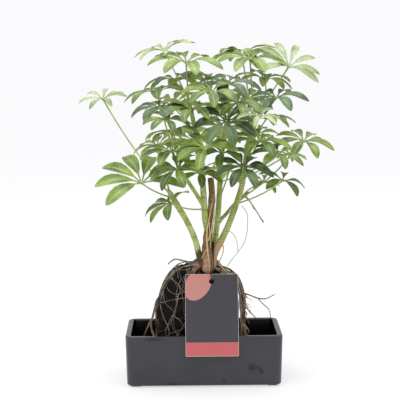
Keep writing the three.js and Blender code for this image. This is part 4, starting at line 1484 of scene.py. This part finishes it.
@dataclass
class Leaf:
    """One compound leaf: a long stalk and a fan of leaflets round its top."""

    name: str
    stem: str
    z: float
    hub: tuple[float, float, float]
    lean: tuple[float, float]
    reach: float
    count: int
    turn: float
    age: LeafAge
    shed: tuple[int, ...] = ()
    number: int = 0

    # The tries that each packed leaf was made by: degrees that a leaflet is bent up or swung
    # round, and millimetres that a stalk's root slides up its stem or its middle bows aside.
    BENDS = (0, 9, -9, 18, -18, 28, -28, 40, -40)
    SWINGS = (0, 9, -9, 17, -17)
    SLIDES = (0, 4, -4, 8, -8, 12, -12)
    BOWS = ((0, 0), (8, 0), (-8, 0), (0, 8), (0, -8), (14, 8), (-14, 8), (14, -8), (-14, -8))
    STALK_RADIUS = 1.25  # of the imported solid's stalk
    SLIM = 0.12  # a blade's half width as a share of its leaf's reach
    NEAR = 0.02  # how near a vertex of the solid has to be to count as the same

    def axes(self) -> tuple[Vector, Vector, Vector]:
        """The leaf's own up, east and north."""
        up = Vector((*self.lean, 1)).normalized()
        east = (Vector((1, 0, 0)) - up * up.x).normalized()
        return up, east, up.cross(east)

    def vary(self, leaflet: int) -> float:
        """A repeatable number from -1 to 1 for one of its leaflets."""
        return 2 * (((self.number + 1) * 7 + (leaflet + 1) * GOLDEN * 5) % 1) - 1

    def stalk(self, start: Vector, bow: tuple[float, float]) -> Bend:
        """The stalk's curve.

        Args:
            start: Where it leaves its stem.
            bow: How far its middle is bowed along X and Y.

        Returns:
            The curve.
        """
        hub = Vector(self.hub)
        middle = start.lerp(hub, 0.5)
        under = hub - self.axes()[0] * 0.5 * (hub - start).length
        return Bend(start, middle.lerp(under, 0.28) + Vector((*bow, 0)), hub)

    def leaflet(self, index: int, bend: float, swing: float) -> tuple[Bend, Vector]:
        """One leaflet's midrib and the way across it.

        Args:
            index: Its place round the leaf.
            bend: Degrees that a try bends it up.
            swing: Degrees that a try swings it round.

        Returns:
            The curve and the unit vector across.
        """
        up, east, north = self.axes()
        change = self.vary(index)
        turn = math.radians(self.turn + 360 * (index + 0.14 * change) / self.count + swing)
        out = east * math.cos(turn) + north * math.sin(turn)
        length = self.reach * (0.93 + 0.07 * change)
        rise, fall = (
            math.radians(degrees + bend + more * change)
            for degrees, more in zip(self.age.arch, (6, 10))
        )
        hub = Vector(self.hub)
        control = hub + (out * math.cos(rise) + up * math.sin(rise)) * length / 2
        tip = control + (out * math.cos(fall) + up * math.sin(fall)) * length / 2
        return Bend(hub, control, tip), up.cross(out)

    def find_stalk(self, solid: KDTree, stems: Stems) -> Bend:
        """Finds which of the stalk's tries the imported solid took.

        Args:
            solid: The solid's vertices, in millimetres.
            stems: The stems that carry the stalks.

        Returns:
            The stalk's curve.
        """
        for slide in self.SLIDES:
            start = stems.point(self.stem, self.z + slide)
            for bow in self.BOWS:
                curve = self.stalk(start, bow)
                rings = [Place(curve.at(i / 4), self.STALK_RADIUS) for i in range(5)]
                corner = frames(rings)[2] @ Vector((1, 0, 0))
                if solid.find(corner)[2] < self.NEAR:
                    return curve
        raise ValueError(self.name + ": its stalk isn't where the packed solid has it")

    def find_leaflet(self, solid: KDTree, index: int) -> tuple[Bend, Vector] | None:
        """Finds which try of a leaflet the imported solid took.

        Args:
            solid: The solid's vertices, in millimetres.
            index: The leaflet's place round the leaf.

        Returns:
            Its midrib and the way across it, or None where the leaf has no such leaflet.
        """
        if index in self.shed:
            return None
        for bend in self.BENDS:
            for swing in self.SWINGS:
                made = self.leaflet(index, bend, swing)
                if solid.find(made[0].tip)[2] < self.NEAR:
                    return made
        return None


@dataclass
class Crown:
    """All the leaves. Their leaflets share one blade, bent along each one's own midrib."""

    stems: Stems
    rows: tuple[tuple, ...]
    # Rows of the blade along its midrib, from its root to its tip.
    ribs: tuple[float, ...] = (0.04, 0.19, 0.32, 0.47, 0.62, 0.76, 0.88, 0.96, 1.0)
    columns: int = 4
    stalk_share: float = 0.17  # of a leaflet's length, where it has no blade yet
    stalk_half: float = 0.75
    stalk_thickness: float = 1.1
    fill: float = 1.04  # a blade's width as a share of its solid's
    young_fill: float = 0.78
    thickness: float = 0.5
    fold: float = 0.26  # how far a blade's edges rise, as a share of its half width
    ripple: float = 0.35
    curl: float = 10.0  # degrees that a leaflet is twisted at its tip, at the most
    # A leaf stalk's radius along its middle, and what it gains at its root and its top.
    leaf_stalk: tuple[float, float, float] = (0.95, 0.9, 0.45)
    stalk_steps: int = 14
    knob: tuple[float, float] = (2.3, 1.6)  # its half width and half height

    def blade(self) -> Mesh:
        """Makes the flat blade: across in X from -1 to 1, along in Y, its underside at Z -1."""
        bm = bmesh.new()
        uv = bm.loops.layers.uv.verify()
        rows = len(self.ribs) - 1
        bmesh.ops.create_grid(
            bm, x_segments=self.columns, y_segments=rows, size=1, calc_uvs=True
        )
        for vert in bm.verts:
            vert.co.y = self.ribs[round((vert.co.y + 1) / 2 * rows)]
        for face in bm.faces:
            for loop in face.loops:
                loop[uv].uv.y = loop.vert.co.y
        top = bm.faces[:]
        sheet = bmesh.ops.extrude_face_region(bm, geom=top)["geom"]
        bmesh.ops.translate(bm, vec=(0, 0, -1), verts=only(BMVert, sheet))
        under = set(only(BMFace, sheet))
        bmesh.ops.recalc_face_normals(bm, faces=bm.faces[:])
        for face in bm.faces:
            face.smooth = True
            face.material_index = UNDER if face in under else UPPER
        for edge in bm.edges:
            faces = edge.link_faces
            edge.smooth = abs(faces[0].normal.dot(faces[1].normal)) > 0.5
        mesh = bpy.data.meshes.new("blade")
        bm.to_mesh(mesh)
        bm.free()
        return mesh

    def half_width(self, t: float, leaf: Leaf) -> float:
        """The blade's half width at a share of its length.

        Args:
            t: From 0 at the root to 1 at the tip.
            leaf: The leaf, whose size it follows.

        Returns:
            Millimetres.
        """
        if t <= self.stalk_share:
            return self.stalk_half
        s = (t - self.stalk_share) / (1 - self.stalk_share)
        bulge = math.sin(math.pi * min(s, 0.995) ** 1.28) ** 0.6
        fill = self.young_fill if leaf.age is LeafAge.YOUNG else self.fill
        return max(leaf.SLIM * leaf.reach * fill * bulge, self.stalk_half * (1 - s) + 0.25)

    def bend_blade(
        self, verts: Iterable[BMVert], leaf: Leaf, index: int, curve: Bend, side: Vector
    ) -> None:
        """Bends a copy of the flat blade along a leaflet's midrib.

        Args:
            verts: The copy's vertices.
            leaf: The leaf it belongs to.
            index: Its place round the leaf.
            curve: Its midrib.
            side: The way across it.
        """
        change = leaf.vary(index)
        for vert in verts:
            x, t, z = vert.co
            along = curve.along(t)
            turned = Matrix.Rotation(math.radians(self.curl * change * t), 3, along) @ -side
            top = turned.cross(along)
            wide = self.half_width(t, leaf)
            lift, thick = 0.0, self.stalk_thickness
            if t > self.stalk_share:
                wave = self.ripple * math.sin(11 * t + 4 * change)
                lift = self.fold * wide * abs(x) ** 1.4 + wave * abs(x) ** 2
                thick = self.thickness
            co = curve.at(t) + turned * (x * wide) + top * (lift + (z + 0.2) * thick)
            vert.co = co * MM

    def build(self) -> None:
        """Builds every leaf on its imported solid."""
        blade = self.blade()
        for number, row in enumerate(self.rows):
            leaf = Leaf(*row, number=number)
            node = "leaf_" + leaf.name
            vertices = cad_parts[node].data.vertices
            solid = KDTree(len(vertices))
            for k, vertex in enumerate(vertices):
                solid.insert(vertex.co / MM, k)
            solid.balance()
            bm = bmesh.new()
            bm.loops.layers.uv.verify()
            for index in range(leaf.count):
                found = leaf.find_leaflet(solid, index)
                if found:
                    start = len(bm.verts)
                    bm.from_mesh(blade)
                    bm.verts.ensure_lookup_table()
                    self.bend_blade(bm.verts[start:], leaf, index, *found)
            curve = leaf.find_stalk(solid, self.stems)
            thin, root, head = self.leaf_stalk
            places = []
            for i in range(self.stalk_steps + 1):
                t = i / self.stalk_steps
                radius = thin + root * math.exp(-18 * t) + head * math.exp(-14 * (1 - t))
                places.append(Place(curve.at(t), radius))
            grow_tube(bm, places, 8, STALK)
            self.add_knob(bm, leaf)
            finishes = [leaf.age.upper, UNDERSIDE, LEAF_STALK]
            settle(bm, "foliage_" + leaf.name, finishes, [node])
        bpy.data.meshes.remove(blade)

    def add_knob(self, bm: BMesh, leaf: Leaf) -> None:
        """Adds the small knob that the leaflets grow from.

        Args:
            bm: The leaf's mesh.
            leaf: The leaf.
        """
        up, east, north = leaf.axes()
        turned = Matrix((east, north, up)).transposed().to_4x4()
        place = Matrix.Translation(Vector(leaf.hub) * MM) @ turned
        wide, high = self.knob
        add_ball(bm, place @ Matrix.Diagonal((wide * MM, wide * MM, high * MM, 1)), 2, STALK)


Y, L, M, D = LeafAge.YOUNG, LeafAge.LIGHT, LeafAge.MATURE, LeafAge.DARK
# Each leaf: name, stem, height where its stalk leaves the stem, hub, lean from upright along X
# and Y, length of its longest leaflet, leaflets, compass turn, age, and the leaflets it has lost.
LEAVES = (
    ("top_left", "centre", 364, (-47, 20, 424), (-0.28, -0.18), 54, 7, 16, Y),
    ("top_mid", "centre", 360, (-20, -10, 409), (0.05, -0.3), 64, 8, 12, L),
    ("top_right", "right", 346, (63, 30, 412), (0.05, -0.35), 60, 8, 18, L),
    ("top_right_back", "right", 350, (54, 66, 418), (-0.15, 0.05), 58, 8, 22, L),
    ("far_right_top", "right", 340, (112, 18, 403), (0.2, -0.95), 56, 9, -6, Y, (6, 7)),
    ("right_upper", "right", 334, (94, -10, 364), (-0.1, -0.35), 54, 8, 20, D),
    ("right_upper_back", "right", 348, (82, 48, 386), (0.15, 0.1), 54, 8, 0, M),
    ("far_left", "left", 240, (-129, 40, 362), (-0.14, -0.44), 41, 7, 36, Y),
    ("left_upper", "branch", 281, (-58, 10, 371), (-0.2, -0.1), 58, 8, 0, M),
    ("left_mid", "branch", 278, (-53, -45, 353), (-0.1, -0.3), 50, 8, 14, D),
    ("left_small", "centre", 300, (-45, -70, 340), (0.1, -0.4), 40, 7, 30, M),
    ("upper_left_back", "centre", 352, (-34, 42, 386), (-0.15, 0.1), 58, 8, 10, D),
    ("upper_mid", "back", 345, (32, -25, 382), (0.05, -0.35), 54, 8, 28, D),
    ("front_mid", "back", 300, (28, -70, 338), (0.05, -0.9), 54, 8, 10, D),
    ("front_right_young", "right", 300, (67, -78, 344), (0.1, -0.5), 38, 7, 0, Y),
    ("front_right", "right", 285, (69, -50, 311), (0.1, -0.3), 54, 8, 20, M),
    ("far_right", "right", 262, (128, -20, 309), (0.12, -0.46), 50, 8, 20, M),
    ("right_small", "side", 234, (113, 8, 288), (0.1, -0.3), 30, 7, 15, Y),
    ("right_low", "side", 225, (101, -25, 260), (0.25, -0.4), 44, 5, 15, M),
    ("right_low_thin", "side", 237, (79, 6, 255), (0.3, -0.45), 32, 5, 20, L),
    ("front_light", "centre", 268, (2, -86, 306), (0, -0.65), 50, 8, 32, L, (6,)),
    ("left_big", "left", 238, (-77, -42, 260), (0.08, -0.78), 74, 10, 7, L, (7, 8, 9)),
    ("left_front_high", "branch", 284, (-38, -62, 300), (0, -0.25), 56, 8, 24, M),
    ("left_front_low", "branch", 270, (-32, -84, 281), (-0.35, -0.6), 48, 8, 12, M),
    ("mid_front_low", "centre", 240, (-4, -52, 272), (0.1, -0.4), 42, 7, 16, M),
    ("low_left", "centre", 222, (-39, -46, 234), (-0.4, -0.32), 50, 9, 20, M, (0, 7, 8)),
    ("mid_right_front", "back", 256, (49, -70, 281), (0.05, -0.6), 50, 8, 20, D),
    ("upper_front_left", "centre", 326, (-16, -56, 352), (-0.05, -0.3), 50, 8, 33, M),
    ("upper_front", "back", 336, (10, -62, 373), (0.05, -0.4), 50, 8, 3, M),
    ("right_back", "right", 338, (58, 66, 358), (0.1, 0.45), 54, 8, 12, M),
    ("top_back", "back", 349, (8, 68, 380), (0, 0.3), 52, 8, 0, L),
    ("left_back", "centre", 330, (-38, 78, 352), (-0.25, 0.45), 54, 8, 21, M),
    ("mid_back", "back", 300, (30, 86, 320), (0.05, 0.6), 52, 8, 9, D),
    ("mid_back_left", "centre", 280, (-12, 88, 304), (-0.1, 0.6), 50, 8, 31, M),
    ("right_back_low", "right", 275, (72, 66, 312), (0.2, 0.5), 46, 8, 17, D),
    ("left_back_low", "left", 243, (-58, 52, 300), (-0.3, 0.35), 46, 8, 2, M),
    ("inner", "back", 320, (8, 12, 348), (0, 0), 46, 8, 24, D),
    ("low_back", "back", 232, (36, 62, 264), (0.15, 0.5), 46, 7, 11, M),
    ("inner_left", "branch", 283, (-40, 0, 320), (-0.15, 0), 46, 8, 18, M),
    ("inner_right", "right", 310, (84, 26, 336), (0.15, 0.1), 48, 8, 27, M),
    ("front_high", "right", 322, (44, -52, 358), (0.1, -0.5), 46, 8, 6, M),
    ("centre_low", "centre", 262, (24, -40, 296), (0.05, -0.4), 46, 8, 35, M),
    ("right_front_low", "right", 268, (93, -58, 296), (0.2, -0.4), 44, 8, 9, M),
)


# ---------------------------------------------------------------------------------------------
# Card and string
# ---------------------------------------------------------------------------------------------
@dataclass
class HangTag:
    """The printed card that leans on the tray's rim, and its string."""

    width: float = 67.0
    height: float = 103.8
    thick: float = 0.8
    lean: float = 16.0  # degrees from upright
    low: float = 42.5  # the height of its lower edge
    x: float = 10.0
    hole_down: float = 9.5
    rim_back: float = -55.3  # where its back passes the tray's rim
    rim_height: float = 66.0
    string_radius: float = 0.65
    knot: tuple[float, float, float] = (12.9, -4.6, 177.4)
    knot_radius: float = 1.9

    def on_card(self, x: float, down: float, proud: float = 0.0) -> Vector:
        """A place on the card's front.

        Args:
            x: Millimetres to the right of its middle.
            down: Millimetres below its top edge.
            proud: Millimetres off its face.

        Returns:
            The point.
        """
        lean = math.radians(self.lean)
        z = self.low + (self.height - down) * math.cos(lean)
        y = self.rim_back - self.thick + (z - self.rim_height) * math.tan(lean)
        return Vector((self.x + x, y - proud * math.cos(lean), z + proud * math.sin(lean)))

    def build(self) -> None:
        """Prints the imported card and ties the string."""
        print_finish = PrintedCard(
            "offset_printed_card", 0.5, 1.5, centre=tuple(self.on_card(0, self.height / 2)),
            lean=self.lean, half=(self.width / 2, self.height / 2),
        )
        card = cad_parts["card"]
        card.data.materials.clear()
        card.data.materials.append(print_finish.material())
        self.build_string()

    def build_string(self) -> None:
        """Runs the string from its knot through the fork and the card's hole and back."""
        run = [
            Vector((12.8, -4.9, 176.8)),
            Vector((12.5, -10, 176.6)),
            Vector((11.9, -18.8, 171.6)),
            Vector((10.6, -25, 158)),
            self.on_card(-0.7, self.hole_down - 12, 0.5),
            self.on_card(-0.4, self.hole_down - 4.5, 1.6),
            self.on_card(0, self.hole_down, -self.thick / 2),
            self.on_card(1, self.hole_down - 5, -2.4),
            self.on_card(1.4, self.hole_down - 12, -1.6),
            Vector((12.8, -24, 159)),
            Vector((13.2, -18.6, 173.4)),
            Vector((12.9, -10, 178.5)),
            Vector((12.9, -4.9, 178)),
        ]
        bm = bmesh.new()
        rows = [(*point, self.string_radius) for point in run]
        grow_tube(bm, sampled(rows, 90), 10)
        place = Matrix.Translation(Vector(self.knot) * MM)
        add_ball(bm, place @ Matrix.Scale(self.knot_radius * MM, 4), 3)
        settle(bm, "tag_string", [TWINE], ["card_string"])


# ---------------------------------------------------------------------------------------------
# Studio
# ---------------------------------------------------------------------------------------------
@dataclass
class Studio:
    """The pale floor, the soft lights and the camera, worked out for a square picture."""

    # The camera, fitted to the tray's corners and the card's: its place in millimetres, its
    # turns in radians, and its focal length in pixels of the picture.
    eye: tuple[float, float, float] = (-22.1, -1518.0, 416.8)
    pitch: float = 0.1205
    yaw: float = 0.0122
    roll: float = -0.0061
    focal_px: float = 1185.5
    picture_px: int = 400
    sensor: float = 36.0
    # Each softbox: its name, where it hangs and its side in metres, and its watts.
    softboxes: tuple[tuple[str, tuple[float, float, float], float, float], ...] = (
        ("key_softbox", (-1.0, -1.3, 1.9), 1.2, 12),
        ("fill_softbox", (1.5, -1.0, 1.0), 1.0, 4),
        ("top_softbox", (0.0, 0.1, 2.0), 1.4, 15),
    )
    aim: tuple[float, float, float] = (0.0, 0.0, 0.22)
    floor_radius: float = 60.0
    # The room's grey by height, from the horizon at 0 to the ceiling.
    room: tuple[tuple[float, str], ...] = (
        (0.12, "#e5e5e8"), (0.25, "#b2b2b4"), (0.5, "#b2b2b4"), (0.65, "#ffffff"),
    )
    room_strength: float = 1.22

    def add_camera(self) -> None:
        """Sets up the camera where the photograph was taken from."""
        ahead = Vector((
            math.sin(self.yaw) * math.cos(self.pitch),
            math.cos(self.yaw) * math.cos(self.pitch),
            -math.sin(self.pitch),
        ))
        right = Vector((math.cos(self.yaw), -math.sin(self.yaw), 0))
        up = right.cross(ahead)
        c, s = math.cos(self.roll), math.sin(self.roll)
        turned = Matrix((right * c + up * s, up * c - right * s, -ahead)).transposed().to_4x4()
        data = bpy.data.cameras.new("studio_camera")
        data.sensor_width = self.sensor
        data.lens = self.focal_px / self.picture_px * self.sensor
        data.clip_start, data.clip_end = 0.05, 100
        camera = bpy.data.objects.new("studio_camera", data)
        camera.matrix_world = Matrix.Translation(Vector(self.eye) * MM) @ turned
        bpy.context.scene.collection.objects.link(camera)
        bpy.context.scene.camera = camera

    def add_light(self, name: str, at: Sequence[float], size: float, power: float) -> None:
        """Hangs one square softbox that faces the plant.

        Args:
            name: Its name.
            at: Where it hangs, in metres.
            size: Its side, in metres.
            power: Watts.
        """
        data = bpy.data.lights.new(name, "AREA")
        data.size = size
        data.energy = power
        light = bpy.data.objects.new(name, data)
        light.location = at
        ahead = Vector(self.aim) - Vector(at)
        light.rotation_euler = ahead.to_track_quat("-Z", "Y").to_euler()
        bpy.context.scene.collection.objects.link(light)

    def build(self) -> None:
        """Lays the floor and sets the lights."""
        bm = bmesh.new()
        bmesh.ops.create_circle(bm, cap_ends=True, segments=64, radius=self.floor_radius)
        # The floor glows a little on its own, as painted light, so that shadows on it stay faint.
        floor = as_object(bm, "studio_floor", [GlowingFloor("glowing_floor", 0.9)])
        world = bpy.data.worlds.new("studio")
        world.use_nodes = True
        bpy.context.scene.world = world
        sky = world.node_tree.nodes["Background"]
        way = add_node(world.node_tree, "TexCoord").outputs["Generated"]
        height = add_node(world.node_tree, "SeparateXYZ", {}, {0: way}).outputs["Z"]
        grey = add_node(world.node_tree, "ValToRGB", {"stops": self.room}, {"Fac": height})
        set_up(world.node_tree, sky, {"Strength": self.room_strength}, {"Color": grey})
        for softbox in self.softboxes:
            self.add_light(*softbox)
        bpy.context.scene.view_settings.view_transform = "Standard"


def main() -> None:
    """Builds the studio, then the plant piece by piece."""
    logging.basicConfig(level=logging.INFO, format="%(name)s: %(message)s")
    studio = Studio()
    studio.add_camera()
    studio.build()
    stone = Stone()
    roots = Roots(stone)
    stems = Stems()
    Tray().build()
    stone.build()
    roots.build()
    stems.build(roots.trunk)
    Crown(stems, LEAVES).build()
    HangTag().build()


if __name__ == "__main__":
    main()
